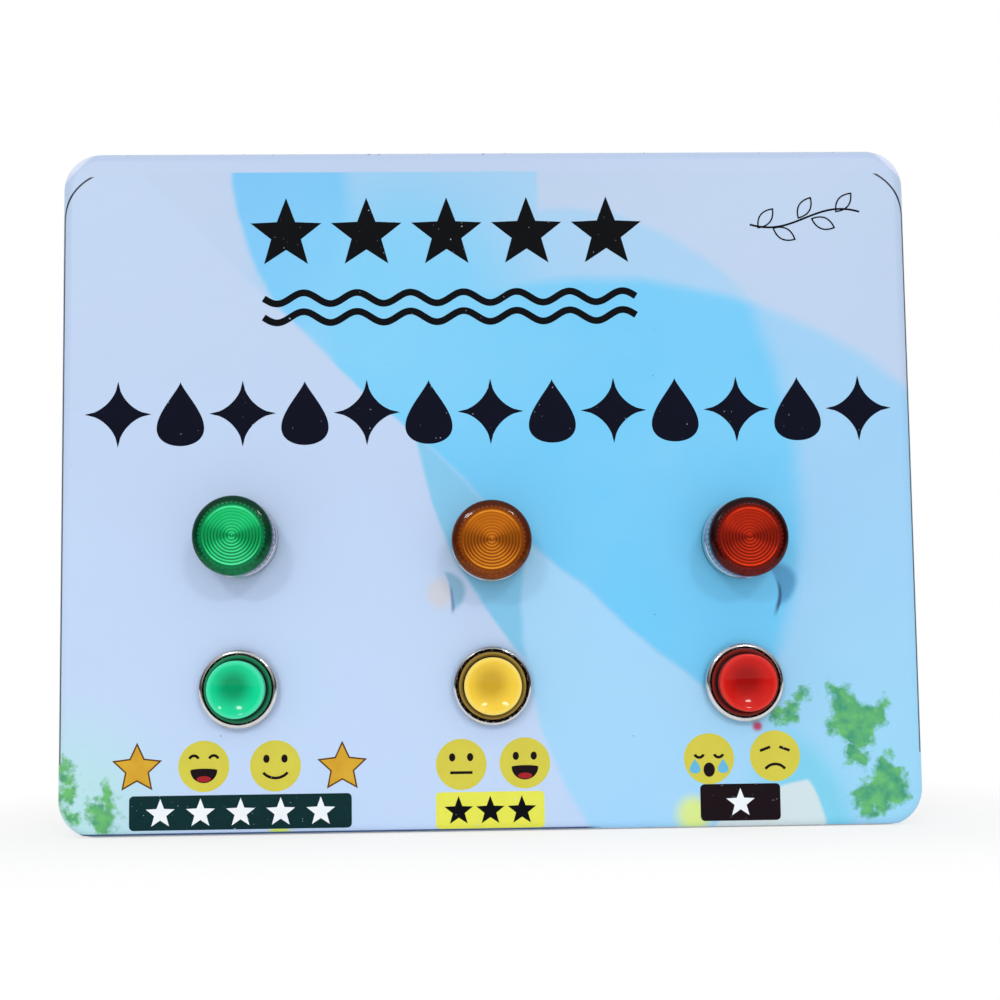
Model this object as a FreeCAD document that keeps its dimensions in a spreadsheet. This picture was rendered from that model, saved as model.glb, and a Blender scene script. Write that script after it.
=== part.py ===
# Customer feedback terminal: a wall box with three pilot lamps above three push buttons.
#
# Millimetres. The origin is the middle of the wall face, +X is to the right as a customer sees
# the box, +Y points into the wall and +Z is up. Each lamp and button is turned about an axis
# along Y, and its own depths are counted from the printed face: negative towards the customer,
# positive into the box.

import FreeCAD, Part
import os
import re

import Sketcher

DIMENSIONS = {
    # Box, over the printed film
    "box_width": 319,
    "box_height": 255.5,
    "box_depth": 80,
    "corner_radius": 14,
    "edge_roll": 4,
    "cover_wall": 2,
    # Printed film on the front, folded over the sides
    "film_thickness": 0.3,
    "film_fold": 16,
    "film_trim": 1,
    # Back plate
    "plate_thickness": 2,
    "plate_gap": 0.5,
    "flange_depth": 16,
    "flange_height": 190,
    "wall_hole": 5,
    "wall_holes_across": 250,
    "wall_holes_up": 190,
    # Cable entry
    "cable_hole": 12,
    "cable_bore": 6.4,
    "cable_inset": 36.7,
    "cable_up": 40,
    "grommet_rim": 2,
    "grommet_rise": 1.5,
    # Screws
    "screw_thread": 3,
    "screw_head": 5.6,
    "screw_head_rise": 1.8,
    "screw_length": 7,
    "screw_clearance": 0.2,
    "screw_slot": 0.8,
    "side_screw_pitch": 120,
    "side_screw_inset": 10,
    # Places of the lamps and buttons
    "column_pitch": 93,
    "lamp_drop": 21.3,
    "green_lamp_rise": 2.5,
    "button_drop": 74,
    # What lamps and buttons share
    "head_diameter": 29,
    "barrel_diameter": 22,
    "fit_gap": 0.2,
    "gasket_thickness": 1,
    "lip_thickness": 1,
    "flange_thickness": 1.2,
    "button_flange_thickness": 1,
    "nut_width": 27,
    "nut_thickness": 5,
    # Lamp
    "lamp_height": 21.9,
    "sleeve_height": 17.5,
    "sleeve_base": 9,
    "sleeve_step": 0.2,
    "sleeve_wall": 1.2,
    "lens_wall": 2.2,
    "lens_shoulder": 2.6,
    "lens_skirt": 8,
    "lamp_nose": 14,
    "lamp_wall": 1,
    "lamp_seat": 1.5,
    "lamp_length": 36,
    "lamp_end_wall": 3,
    "led_board": 1.6,
    "led_diameter": 5,
    "led_height": 6,
    "led_circle": 11,
    # Button
    "bezel_height": 4.8,
    "bezel_width": 2,
    "bezel_round": 1.4,
    "guide_height": 5,
    "cap_diameter": 20.9,
    "cap_height": 12.25,
    "cap_skirt": 5,
    "cap_wall": 1,
    "cap_top": 2.8,
    "cap_dish": 1.6,
    "cap_rim": 1.2,
    "cap_round": 0.7,
    "cap_gap": 0.35,
    "seat_gap": 0.03,
    "running_gap": 0.08,
    "travel": 4,
    "stop_gap": 0.1,
    "plunger_skirt": 14,
    "plunger_wall": 1.5,
    "rod_diameter": 5,
    "button_floor": 14,
    "floor_thickness": 2,
    "button_length": 26,
    "spring_wire": 1,
    "spring_diameter": 10.4,
    "spring_pitch": 3,
    # Switch behind a button
    "switch_width": 24,
    "switch_length": 20,
    "switch_wall": 3.8,
    "switch_back_wall": 5,
    "cavity_width": 18,
    "cavity_height": 10,
    "bridge_length": 13,
    "bridge_width": 4,
    "bridge_thickness": 1,
    # Blades of the switches and lamps
    "blade_pitch": 10,
    "blade_width": 3,
    "blade_thickness": 0.8,
    "blade_reach": 5,
    "pad_thickness": 1,
    # Controller board
    "board_width": 130,
    "board_height": 70,
    "board_thickness": 1.6,
    "board_up": 60,
    "board_inset": 5,
    "spacer_height": 8,
    "spacer_diameter": 7,
    "processor_width": 14,
    "processor_rise": 1.6,
    "radio_width": 18,
    "radio_height": 26,
    "radio_rise": 3.2,
    "radio_side": 35,
    "radio_up": 12,
    # Connectors and wires
    "pole_pitch": 6,
    "connector_depth": 14,
    "connector_height": 12,
    "connector_inset": 3,
    "connector_gap": 1.2,
    "connector_spacing": 7,
    "port_depth": 5,
    "wire_diameter": 1.6,
    "wire_gap": 0.1,
    "wire_bend": 5,
    "wire_lane": 9,
    "lamp_wire_rise": 10.5,
    "button_wire_rise": 5,
}

# Lengths that several pieces share, as formulas of the sizes above
FACE = "-box_depth"
COVER_FRONT = "(box_depth - film_thickness)"
COVER_HALF_WIDTH = "(box_width / 2 - film_thickness)"
COVER_HALF_HEIGHT = "(box_height / 2 - film_thickness)"
INNER_HALF_WIDTH = "(box_width / 2 - film_thickness - cover_wall)"
INNER_HALF_HEIGHT = "(box_height / 2 - film_thickness - cover_wall)"
PANEL_BACK = "(film_thickness + cover_wall)"
HEAD = "(head_diameter / 2)"
BARREL = "(barrel_diameter / 2)"
PANEL_HOLE = "(barrel_diameter / 2 + fit_gap)"
LIP_TOP = "(-gasket_thickness - lip_thickness)"
LAMP_BORE = "(barrel_diameter / 2 - lamp_wall)"
SLEEVE_BORE = "(head_diameter / 2 - sleeve_wall)"
GUIDE_OUTER = "(head_diameter / 2 - bezel_width - fit_gap)"
SEAT_TOP = "(-gasket_thickness - lip_thickness - button_flange_thickness)"
PLUNGER = "(cap_diameter / 2 - cap_wall - seat_gap)"
PLUNGER_TOP = "(cap_top - cap_height)"
SPRING_TOP = "(cap_top - cap_height + plunger_wall)"
ROD = "(rod_diameter / 2)"
ROD_HOLE = "(rod_diameter / 2 + running_gap)"
ROD_END = "(button_length + switch_wall + stop_gap)"
CONTACT_TOP = "(button_length + switch_wall + bridge_thickness + travel + 2 * stop_gap)"
SWITCH_BACK = "(button_length + switch_length)"
PLATE_FRONT = "(-plate_thickness)"
BOARD_FRONT = "(plate_thickness + spacer_height + board_thickness)"
LAMP_WIRES = "(-plate_thickness - spacer_height - board_thickness - lamp_wire_rise)"
BUTTON_WIRES = "(-plate_thickness - spacer_height - board_thickness - button_wire_rise)"
CONNECTOR_FOOT = "(board_up - board_height / 2 + connector_inset)"
SUPPLY_POLES = "(board_inset + screw_head / 2 + connector_gap + pole_pitch - board_width / 2)"
LAMP_POLES = f"({SUPPLY_POLES} + 4 * pole_pitch + connector_spacing)"
BUTTON_POLES = f"({LAMP_POLES} + 6 * pole_pitch + connector_spacing)"
CABLE_SIDE = f"({INNER_HALF_WIDTH} - plate_gap - cable_inset)"

# Places of the lamps and buttons on the front, by colour. The green lamp sits a little above its row.
LAMPS = {
    "green": ("-column_pitch", "(green_lamp_rise - lamp_drop)"),
    "amber": ("0", "-lamp_drop"),
    "red": ("column_pitch", "-lamp_drop"),
}
BUTTONS = {
    "green": ("-column_pitch", "-button_drop"),
    "yellow": ("0", "-button_drop"),
    "red": ("column_pitch", "-button_drop"),
}
FRONT_PLACES = [*LAMPS.values(), *BUTTONS.values()]

BOARD_CORNERS = [
    (f"{x} * (board_width / 2 - board_inset)", f"board_up + {z} * (board_height / 2 - board_inset)")
    for x in (-1, 1)
    for z in (-1, 1)
]
SIDE_SCREWS = [("-side_screw_inset", f"{side} * side_screw_pitch / 2") for side in (-1, 1)]

doc = FreeCAD.newDocument("feedback_terminal")
sheet = doc.addObject("Spreadsheet::Sheet", "sizes")
for row, (name, value) in enumerate(DIMENSIONS.items(), 1):
    sheet.set(f"A{row}", name)
    sheet.set(f"B{row}", str(value))
    sheet.setAlias(f"B{row}", name)
doc.recompute()

pieces = []


# Helpers

def formula(text):
    """Point every size name in a formula at its cell of the sheet."""
    return re.sub(r"[a-z_]+", lambda word: f"sizes.{word[0]}" if word[0] in DIMENSIONS else word[0], text)


def amount(text):
    """The present value of a formula."""
    return float(sheet.evalExpression(formula(text)))


def bind(thing, name, text):
    """Make one property of an object follow a formula."""
    thing.setExpression(name, formula(text))


def new_body(label, place=("0", "0", "0")):
    """A body whose origin lies at the given x, y and z."""
    body = doc.addObject("PartDesign::Body", label)
    for axis, distance in zip("xyz", place):
        bind(body, f"Placement.Base.{axis}", distance)
    pieces.append(body)
    return body


def plane_of(body, role):
    """One of the body's own origin planes."""
    return next(item for item in body.Origin.OriginFeatures if item.Role == role)


def new_sketch(body, role, height="0"):
    """A sketch on an origin plane, lifted along that plane's normal."""
    sketch = body.newObject("Sketcher::SketchObject", f"{body.Name}_sketch")
    sketch.AttachmentSupport = [(plane_of(body, role), "")]
    sketch.MapMode = "FlatFace"
    bind(sketch, "AttachmentOffset.Base.z", height)
    return sketch


def pin(sketch, curve, point, x, y):
    """Hold a point of a curve at x, y from the sketch's origin."""
    for kind, distance in (("DistanceX", x), ("DistanceY", y)):
        constraint = Sketcher.Constraint(kind, -1, 1, curve, point, amount(distance))
        bind(sketch, f"Constraints[{sketch.addConstraint(constraint)}]", distance)


def draw_polygon(sketch, corners):
    """A closed polygon through corners given as pairs of formulas."""
    points = [FreeCAD.Vector(amount(x), amount(y), 0) for x, y in corners]
    first = sketch.GeometryCount
    for start, end in zip(points, points[1:] + points[:1]):
        sketch.addGeometry(Part.LineSegment(start, end))
    for index, (x, y) in enumerate(corners):
        following = first + (index + 1) % len(corners)
        sketch.addConstraint(Sketcher.Constraint("Coincident", first + index, 2, following, 1))
        pin(sketch, first + index, 1, x, y)


def draw_rectangle(sketch, x, y, width, height):
    """A rectangle about a centre."""
    sides = [(-1, -1), (1, -1), (1, 1), (-1, 1)]
    corners = [(f"{x} + {a} * ({width}) / 2", f"{y} + {b} * ({height}) / 2") for a, b in sides]
    draw_polygon(sketch, corners)


def draw_circle(sketch, x, y, radius):
    """A circle about a centre."""
    centre = FreeCAD.Vector(amount(x), amount(y), 0)
    curve = sketch.addGeometry(Part.Circle(centre, FreeCAD.Vector(0, 0, 1), amount(radius)))
    pin(sketch, curve, 3, x, y)
    constraint = Sketcher.Constraint("Radius", curve, amount(radius))
    bind(sketch, f"Constraints[{sketch.addConstraint(constraint)}]", radius)


def add(body, kind, sketch, length, backwards):
    """A pad or pocket of a sketch."""
    feature = body.newObject(f"PartDesign::{kind}", f"{body.Name}_{kind.lower()}")
    feature.Profile = sketch
    feature.Reversed = backwards
    bind(feature, "Length", length)
    doc.recompute()
    return feature


def front_sketch(body, depth, circles, rectangles, polygons):
    """A sketch in a plane that faces the customer, at this depth along Y."""
    sketch = new_sketch(body, "XZ_Plane", f"-({depth})")
    for circle in circles:
        draw_circle(sketch, *circle)
    for rectangle in rectangles:
        draw_rectangle(sketch, *rectangle)
    for polygon in polygons:
        draw_polygon(sketch, polygon)
    return sketch


def grow(body, depth, length, circles=(), rectangles=(), polygons=()):
    """Add material from a depth towards the wall."""
    sketch = front_sketch(body, depth, circles, rectangles, polygons)
    return add(body, "Pad", sketch, length, True)


def carve(body, depth, length, circles=(), rectangles=(), polygons=()):
    """Remove material from a depth towards the wall."""
    sketch = front_sketch(body, depth, circles, rectangles, polygons)
    return add(body, "Pocket", sketch, length, False)


def turn(label, place, profile):
    """A piece turned about its own Y axis from corners given as radius and depth."""
    body = new_body(label, place)
    sketch = new_sketch(body, "XY_Plane")
    draw_polygon(sketch, profile)
    turned = body.newObject("PartDesign::Revolution", f"{label}_turned")
    turned.Profile = sketch
    turned.ReferenceAxis = (sketch, ["V_Axis"])
    turned.Angle = 360
    doc.recompute()
    return body


def round_edges(body, radius, chosen):
    """Round the edges of a body that a test picks."""
    base = body.Tip
    edges = enumerate(base.Shape.Edges, 1)
    names = [f"Edge{number}" for number, edge in edges if chosen(edge)]
    rounding = body.newObject("PartDesign::Fillet", f"{body.Name}_rounding")
    rounding.Base = (base, names)
    bind(rounding, "Radius", radius)
    doc.recompute()


def is_rim(edge, radius, depth):
    """Whether an edge is the circle of this radius and depth about the Y axis."""
    curve = edge.Curve
    if not isinstance(curve, Part.Circle):
        return False
    return abs(curve.Radius - amount(radius)) < 1e-4 and abs(curve.Center.y - amount(depth)) < 1e-4


def round_rim(body, size, radius, depth):
    """Round a turned piece's circular edge."""
    round_edges(body, size, lambda edge: is_rim(edge, radius, depth))


# Box

def tray(label, half_width, half_height, front, depth, corner, roll, wall):
    """A rounded rectangular tray, open at the back, with rolled front edges."""
    body = new_body(label)
    grow(body, f"-{front}", depth, rectangles=[("0", "0", f"2 * {half_width}", f"2 * {half_height}")])
    round_edges(body, corner, lambda edge: edge.BoundBox.YLength > 1 and len(edge.Vertexes) == 2)
    face = amount(front)
    round_edges(body, roll, lambda edge: edge.BoundBox.YMax < 0.01 - face)
    base = body.Tip
    back = max(range(len(base.Shape.Faces)), key=lambda number: base.Shape.Faces[number].CenterOfMass.y)
    hollow = body.newObject("PartDesign::Thickness", f"{label}_hollow")
    hollow.Base = (base, [f"Face{back + 1}"])
    hollow.Reversed = True
    bind(hollow, "Value", wall)
    doc.recompute()
    return body


def drill_sides(body, reach, radius):
    """Bore both side walls for the cover's screws."""
    for side in (-1, 1):
        sketch = new_sketch(body, "YZ_Plane", f"{side} * {reach}")
        for y, z in SIDE_SCREWS:
            draw_circle(sketch, y, z, radius)
        add(body, "Pocket", sketch, "3 * cover_wall", side < 0)


def front_cover():
    """Deep-drawn cover with a hole for each lamp and button."""
    cover = tray(
        "front_cover", COVER_HALF_WIDTH, COVER_HALF_HEIGHT, COVER_FRONT, COVER_FRONT,
        "corner_radius - film_thickness", "edge_roll - film_thickness", "cover_wall",
    )
    holes = [(x, z, PANEL_HOLE) for x, z in FRONT_PLACES]
    carve(cover, f"-{COVER_FRONT}", "2 * cover_wall", circles=holes)
    drill_sides(cover, COVER_HALF_WIDTH, "screw_thread / 2 + screw_clearance")


def graphic_overlay():
    """Printed film over the front, folded onto the top and sides, trimmed along the bottom."""
    film = tray(
        "graphic_overlay", "(box_width / 2)", "(box_height / 2)", "box_depth", "film_fold",
        "corner_radius", "edge_roll", "film_thickness",
    )
    holes = [(x, z, PANEL_HOLE) for x, z in FRONT_PLACES]
    carve(film, FACE, "2 * film_thickness", circles=holes)
    trim = ("0", "-box_height / 2", "2 * box_width", "2 * film_trim")
    carve(film, FACE, "2 * film_fold", rectangles=[trim])


def back_plate():
    """Wall plate with two flanges that the cover slides over."""
    plate = new_body("back_plate")
    half_width = f"({INNER_HALF_WIDTH} - plate_gap)"
    half_height = f"({INNER_HALF_HEIGHT} - plate_gap)"
    outline = ("0", "0", f"2 * {half_width}", f"2 * {half_height}")
    grow(plate, PLATE_FRONT, "plate_thickness", rectangles=[outline])
    corner = "corner_radius - film_thickness - cover_wall - plate_gap"
    round_edges(plate, corner, lambda edge: edge.BoundBox.YLength > 1)
    flanges = [
        (f"{side} * ({half_width} - plate_thickness / 2)", "0", "plate_thickness", "flange_height")
        for side in (-1, 1)
    ]
    grow(plate, f"{PLATE_FRONT} - flange_depth", "flange_depth", rectangles=flanges)
    wall_holes = [
        (f"{x} * wall_holes_across / 2", f"{z} * wall_holes_up / 2", "wall_hole / 2")
        for x in (-1, 1)
        for z in (-1, 1)
    ]
    cable = (CABLE_SIDE, "cable_up", "cable_hole / 2")
    carve(plate, PLATE_FRONT, "2 * plate_thickness", circles=wall_holes + [cable])
    drill_sides(plate, INNER_HALF_WIDTH, "screw_thread / 2 + seat_gap")


def cable_grommet():
    """Rubber bush that lines the cable hole."""
    front = f"{PLATE_FRONT} - grommet_rise"
    profile = [
        ("cable_bore / 2", "0"),
        ("cable_hole / 2", "0"),
        ("cable_hole / 2", PLATE_FRONT),
        ("cable_hole / 2 + grommet_rim", PLATE_FRONT),
        ("cable_hole / 2 + grommet_rim", front),
        ("cable_bore / 2", front),
    ]
    turn("cable_grommet", (CABLE_SIDE, "0", "cable_up"), profile)


def cover_screws():
    """Two slotted screws in each side of the cover."""
    screws = new_body("cover_screws")
    made = []
    head = ("screw_head / 2", "screw_head_rise", False)
    shank = ("screw_thread / 2", "screw_length", True)
    for radius, length, inwards in (head, shank):
        sketch = new_sketch(screws, "YZ_Plane", COVER_HALF_WIDTH)
        for y, z in SIDE_SCREWS:
            draw_circle(sketch, y, z, radius)
        made.append(add(screws, "Pad", sketch, length, inwards))
    sketch = new_sketch(screws, "YZ_Plane", f"{COVER_HALF_WIDTH} + screw_head_rise")
    for y, z in SIDE_SCREWS:
        draw_rectangle(sketch, y, z, "2 * screw_head", "screw_slot")
    made.append(add(screws, "Pocket", sketch, "screw_head_rise / 2", False))
    mirrored = screws.newObject("PartDesign::Mirrored", "cover_screws_mirrored")
    mirrored.Originals = made
    mirrored.MirrorPlane = (plane_of(screws, "YZ_Plane"), [""])
    screws.Tip = mirrored
    doc.recompute()


# Controller on the back plate

def controller_board():
    """Circuit board on its four spacers."""
    board = new_body("controller_board")
    outline = ("0", "board_up", "board_width", "board_height")
    grow(board, f"-{BOARD_FRONT}", "board_thickness", rectangles=[outline])
    holes = [(x, z, "screw_thread / 2 + screw_clearance") for x, z in BOARD_CORNERS]
    carve(board, f"-{BOARD_FRONT}", "2 * board_thickness", circles=holes)


def board_spacers():
    """Threaded spacers between the back plate and the board."""
    spacers = new_body("board_spacers")
    start = f"{PLATE_FRONT} - spacer_height"
    grow(spacers, start, "spacer_height", circles=[(x, z, "spacer_diameter / 2") for x, z in BOARD_CORNERS])
    bores = [(x, z, "screw_thread / 2 + seat_gap") for x, z in BOARD_CORNERS]
    carve(spacers, start, "screw_length", circles=bores)


def board_screws():
    """Slotted screws that hold the board on its spacers."""
    screws = new_body("board_screws")
    top = f"-{BOARD_FRONT} - screw_head_rise"
    grow(screws, top, "screw_head_rise", circles=[(x, z, "screw_head / 2") for x, z in BOARD_CORNERS])
    shanks = [(x, z, "screw_thread / 2") for x, z in BOARD_CORNERS]
    grow(screws, f"-{BOARD_FRONT}", "screw_length", circles=shanks)
    slots = [(x, z, "2 * screw_head", "screw_slot") for x, z in BOARD_CORNERS]
    carve(screws, top, "screw_head_rise / 2", rectangles=slots)


def board_chips():
    """Processor and shielded radio module, soldered flat on the board."""
    processor = new_body("processor")
    square = ("0", "board_up + radio_up", "processor_width", "processor_width")
    grow(processor, f"-{BOARD_FRONT} - processor_rise", "processor_rise", rectangles=[square])
    radio = new_body("radio_module")
    can = ("radio_side", "board_up + radio_up", "radio_width", "radio_height")
    grow(radio, f"-{BOARD_FRONT} - radio_rise", "radio_rise", rectangles=[can])
    round_edges(radio, "radio_rise / 4", lambda edge: edge.BoundBox.YLength > 1)


def pole_places(side, poles):
    """X places of a connector's poles about its middle."""
    return [f"({side} + {number - (poles - 1) / 2} * pole_pitch)" for number in range(poles)]


def connector(label, side, poles, port_rise):
    """Screw connector with a wire port under each pole."""
    body = new_body(label)
    front = f"-{BOARD_FRONT} - connector_depth"
    middle = f"{CONNECTOR_FOOT} + connector_height / 2"
    block = (side, middle, f"{poles} * pole_pitch", "connector_height")
    grow(body, front, "connector_depth", rectangles=[block])
    ports = new_sketch(body, "XY_Plane", CONNECTOR_FOOT)
    for x in pole_places(side, poles):
        draw_circle(ports, x, f"-{BOARD_FRONT} - {port_rise}", "wire_diameter / 2 + wire_gap")
    add(body, "Pocket", ports, "port_depth", True)
    wells = [(x, middle, "screw_thread / 2") for x in pole_places(side, poles)]
    carve(body, front, "wire_diameter", circles=wells)


# What lamps and buttons share

def panel_gaskets():
    """Flat washers between each head and the printed face."""
    gaskets = new_body("panel_gaskets", ("0", FACE, "0"))
    outer = [(x, z, f"{HEAD} - fit_gap") for x, z in FRONT_PLACES]
    inner = [(x, z, PANEL_HOLE) for x, z in FRONT_PLACES]
    grow(gaskets, "-gasket_thickness", "gasket_thickness", circles=outer + inner)


def panel_nuts():
    """Hexagonal nuts that clamp each barrel from inside the cover."""
    nuts = new_body("panel_nuts", ("0", FACE, "0"))
    reach = "nut_width / 2 / cos(30 deg)"
    hexagons = [
        [
            (f"{x} + {reach} * cos({angle} deg)", f"{z} + {reach} * sin({angle} deg)")
            for angle in range(0, 360, 60)
        ]
        for x, z in FRONT_PLACES
    ]
    bores = [(x, z, f"{BARREL} + seat_gap") for x, z in FRONT_PLACES]
    grow(nuts, PANEL_BACK, "nut_thickness", circles=bores, polygons=hexagons)


def blade_slots(depth, length, body):
    """Slots for a pair of blades."""
    slots = [
        (f"{side} * blade_pitch / 2", "0", "blade_thickness + 2 * wire_gap", "blade_width + 2 * wire_gap")
        for side in (-1, 1)
    ]
    carve(body, depth, length, rectangles=slots)


def blades(label, place, depth, end):
    """A pair of brass blades, each with a contact pad at its front."""
    pair = new_body(label, place)
    pads = [(f"{side} * blade_pitch / 2", "0", "blade_width", "blade_width") for side in (-1, 1)]
    grow(pair, depth, "pad_thickness", rectangles=pads)
    strips = [(f"{side} * blade_pitch / 2", "0", "blade_thickness", "blade_width") for side in (-1, 1)]
    grow(pair, depth, f"{end} - ({depth})", rectangles=strips)


# Lamps

def lamp_lens(label, place):
    """Coloured lens with a rounded shoulder and a skirt inside the sleeve."""
    skirt = f"({SLEEVE_BORE} - fit_gap)"
    profile = [
        ("0", "-lamp_height"),
        (HEAD, "-lamp_height"),
        (HEAD, "-sleeve_height"),
        (skirt, "-sleeve_height"),
        (skirt, "lens_skirt - sleeve_height"),
        (PANEL_HOLE, "lens_skirt - sleeve_height"),
        (PANEL_HOLE, "lens_wall - lamp_height"),
        ("0", "lens_wall - lamp_height"),
    ]
    lens = turn(label, place, profile)
    round_rim(lens, "lens_shoulder", HEAD, "-lamp_height")


def lamp_sleeve(label, place):
    """Plated sleeve with a lip that the body clamps against the cover."""
    neck = f"({HEAD} - sleeve_step)"
    profile = [
        (PANEL_HOLE, "-gasket_thickness"),
        (HEAD, "-gasket_thickness"),
        (HEAD, "-sleeve_base"),
        (neck, "-sleeve_base"),
        (neck, "-sleeve_height"),
        (SLEEVE_BORE, "-sleeve_height"),
        (SLEEVE_BORE, LIP_TOP),
        (PANEL_HOLE, LIP_TOP),
    ]
    turn(label, place, profile)


def lamp_body(label, place):
    """Barrel with a flange over the sleeve's lip and a seat for the light board."""
    flange = f"({SLEEVE_BORE} - fit_gap)"
    seat = LAMP_BORE
    bore = f"({LAMP_BORE} - lamp_seat)"
    floor = "lamp_length - lamp_end_wall"
    profile = [
        (seat, "-lamp_nose"),
        (BARREL, "-lamp_nose"),
        (BARREL, f"{LIP_TOP} - flange_thickness"),
        (flange, f"{LIP_TOP} - flange_thickness"),
        (flange, LIP_TOP),
        (BARREL, LIP_TOP),
        (BARREL, "lamp_length"),
        ("0", "lamp_length"),
        ("0", floor),
        (bore, floor),
        (bore, "0"),
        (seat, "0"),
    ]
    body = turn(label, place, profile)
    blade_slots(floor, "2 * lamp_end_wall", body)


def lamp_led(label, place):
    """Round light board with a ring of light-emitting diodes around one in the middle."""
    light = new_body(label, place)
    grow(light, "-led_board", "led_board", circles=[("0", "0", f"{LAMP_BORE} - fit_gap")])
    ring = [
        (f"led_circle / 2 * cos({angle} deg)", f"led_circle / 2 * sin({angle} deg)", "led_diameter / 2")
        for angle in range(0, 360, 60)
    ]
    tip = "-led_board - led_height"
    grow(light, tip, "led_height", circles=ring + [("0", "0", "led_diameter / 2")])
    top = amount(tip)
    round_edges(light, "led_diameter / 4", lambda edge: edge.BoundBox.YMax < top + 0.01)


def lamp(colour, x, z):
    """One pilot lamp."""
    place = (x, FACE, z)
    lamp_lens(f"{colour}_lamp_lens", place)
    lamp_sleeve(f"{colour}_lamp_sleeve", place)
    lamp_body(f"{colour}_lamp_body", place)
    lamp_led(f"{colour}_lamp_light", place)
    inside = "lamp_length - lamp_end_wall - pad_thickness"
    blades(f"{colour}_lamp_terminals", place, inside, "(lamp_length + blade_reach)")


# Buttons

def button_bezel(label, place):
    """Plated ring with a rounded crown and a lip under the body's flange."""
    bore = f"({HEAD} - bezel_width)"
    profile = [
        (PANEL_HOLE, "-gasket_thickness"),
        (HEAD, "-gasket_thickness"),
        (HEAD, "-bezel_height"),
        (bore, "-bezel_height"),
        (bore, LIP_TOP),
        (PANEL_HOLE, LIP_TOP),
    ]
    bezel = turn(label, place, profile)
    round_rim(bezel, "bezel_round", HEAD, "-bezel_height")
    round_rim(bezel, "bezel_width - bezel_round - fit_gap", bore, "-bezel_height")


def button_guide(label, place):
    """Coloured collar around the cap, seated on the body's flange."""
    inner = "(cap_diameter / 2 + cap_gap)"
    profile = [
        (inner, SEAT_TOP),
        (GUIDE_OUTER, SEAT_TOP),
        (GUIDE_OUTER, "-guide_height"),
        (inner, "-guide_height"),
    ]
    turn(label, place, profile)


def button_cap(label, place):
    """Coloured cap with a dished top, pushed onto the plunger."""
    radius = "cap_diameter / 2"
    socket = "(cap_diameter / 2 - cap_wall)"
    foot = "cap_skirt - cap_height"
    profile = [
        ("0", "-cap_height"),
        (radius, "-cap_height"),
        (radius, foot),
        (socket, foot),
        (socket, PLUNGER_TOP),
        ("0", PLUNGER_TOP),
    ]
    cap = turn(label, place, profile)
    round_rim(cap, "cap_round", radius, "-cap_height")
    dish_cap(cap)


def dish_cap(cap):
    """Turn a shallow spherical dish into the cap's top, inside its rim."""
    rim = "(cap_diameter / 2 - cap_rim)"
    radius = f"(({rim} ^ 2 + cap_dish ^ 2) / (2 * cap_dish))"
    centre = FreeCAD.Vector(0, amount(f"cap_dish - cap_height - {radius}"), 0)
    sphere = Part.Circle(centre, FreeCAD.Vector(0, 0, 1), amount(radius))
    bottom = FreeCAD.Vector(0, amount("cap_dish - cap_height"), 0)
    edge = FreeCAD.Vector(amount(rim), amount("-cap_height"), 0)
    lift = FreeCAD.Vector(0, -1, 0)
    sketch = new_sketch(cap, "XY_Plane")
    arc = sketch.addGeometry(Part.ArcOfCircle(sphere, sphere.parameter(edge), sphere.parameter(bottom)))
    axis = sketch.addGeometry(Part.LineSegment(bottom, bottom + 2 * lift))
    top = sketch.addGeometry(Part.LineSegment(bottom + 2 * lift, edge + lift))
    side = sketch.addGeometry(Part.LineSegment(edge + lift, edge))
    for first, second in ((arc, axis), (axis, top), (top, side), (side, arc)):
        sketch.addConstraint(Sketcher.Constraint("Coincident", first, 2, second, 1))
    pin(sketch, arc, 1, rim, "-cap_height")
    pin(sketch, axis, 1, "0", "cap_dish - cap_height")
    pin(sketch, axis, 2, "0", "-cap_height - cap_dish")
    pin(sketch, top, 2, rim, "-cap_height - cap_dish")
    sketch.addConstraint(Sketcher.Constraint("PointOnObject", arc, 3, -2))
    dish = cap.newObject("PartDesign::Groove", f"{cap.Name}_dish")
    dish.Profile = sketch
    dish.ReferenceAxis = (sketch, ["V_Axis"])
    dish.Angle = 360
    doc.recompute()


def button_plunger(label, place):
    """Cup that slides in the barrel, with the rod that carries the contact bridge."""
    skirt = f"{PLUNGER_TOP} + plunger_skirt"
    bore = f"({PLUNGER} - plunger_wall)"
    profile = [
        ("0", PLUNGER_TOP),
        (PLUNGER, PLUNGER_TOP),
        (PLUNGER, skirt),
        (bore, skirt),
        (bore, SPRING_TOP),
        (ROD, SPRING_TOP),
        (ROD, ROD_END),
        ("0", ROD_END),
    ]
    turn(label, place, profile)


def button_spring(label, place):
    """Return spring between the plunger and the barrel's floor."""
    spring = new_body(label, place)
    sketch = new_sketch(spring, "XY_Plane")
    draw_circle(sketch, "spring_diameter / 2", f"{SPRING_TOP} + spring_wire / 2", "spring_wire / 2")
    coil = spring.newObject("PartDesign::AdditiveHelix", f"{label}_coil")
    coil.Profile = sketch
    coil.ReferenceAxis = (sketch, ["V_Axis"])
    coil.Mode = "pitch-height-angle"
    bind(coil, "Pitch", "spring_pitch")
    bind(coil, "Height", f"button_floor - {SPRING_TOP} - spring_wire")
    doc.recompute()


def button_body(label, place):
    """Barrel with the flange under the guide and a floor with the rod's hole."""
    bore = f"({PLUNGER} + running_gap)"
    under = "(button_floor + floor_thickness)"
    profile = [
        (bore, SEAT_TOP),
        (GUIDE_OUTER, SEAT_TOP),
        (GUIDE_OUTER, LIP_TOP),
        (BARREL, LIP_TOP),
        (BARREL, "button_length"),
        (bore, "button_length"),
        (bore, under),
        (ROD_HOLE, under),
        (ROD_HOLE, "button_floor"),
        (bore, "button_floor"),
    ]
    turn(label, place, profile)


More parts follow.
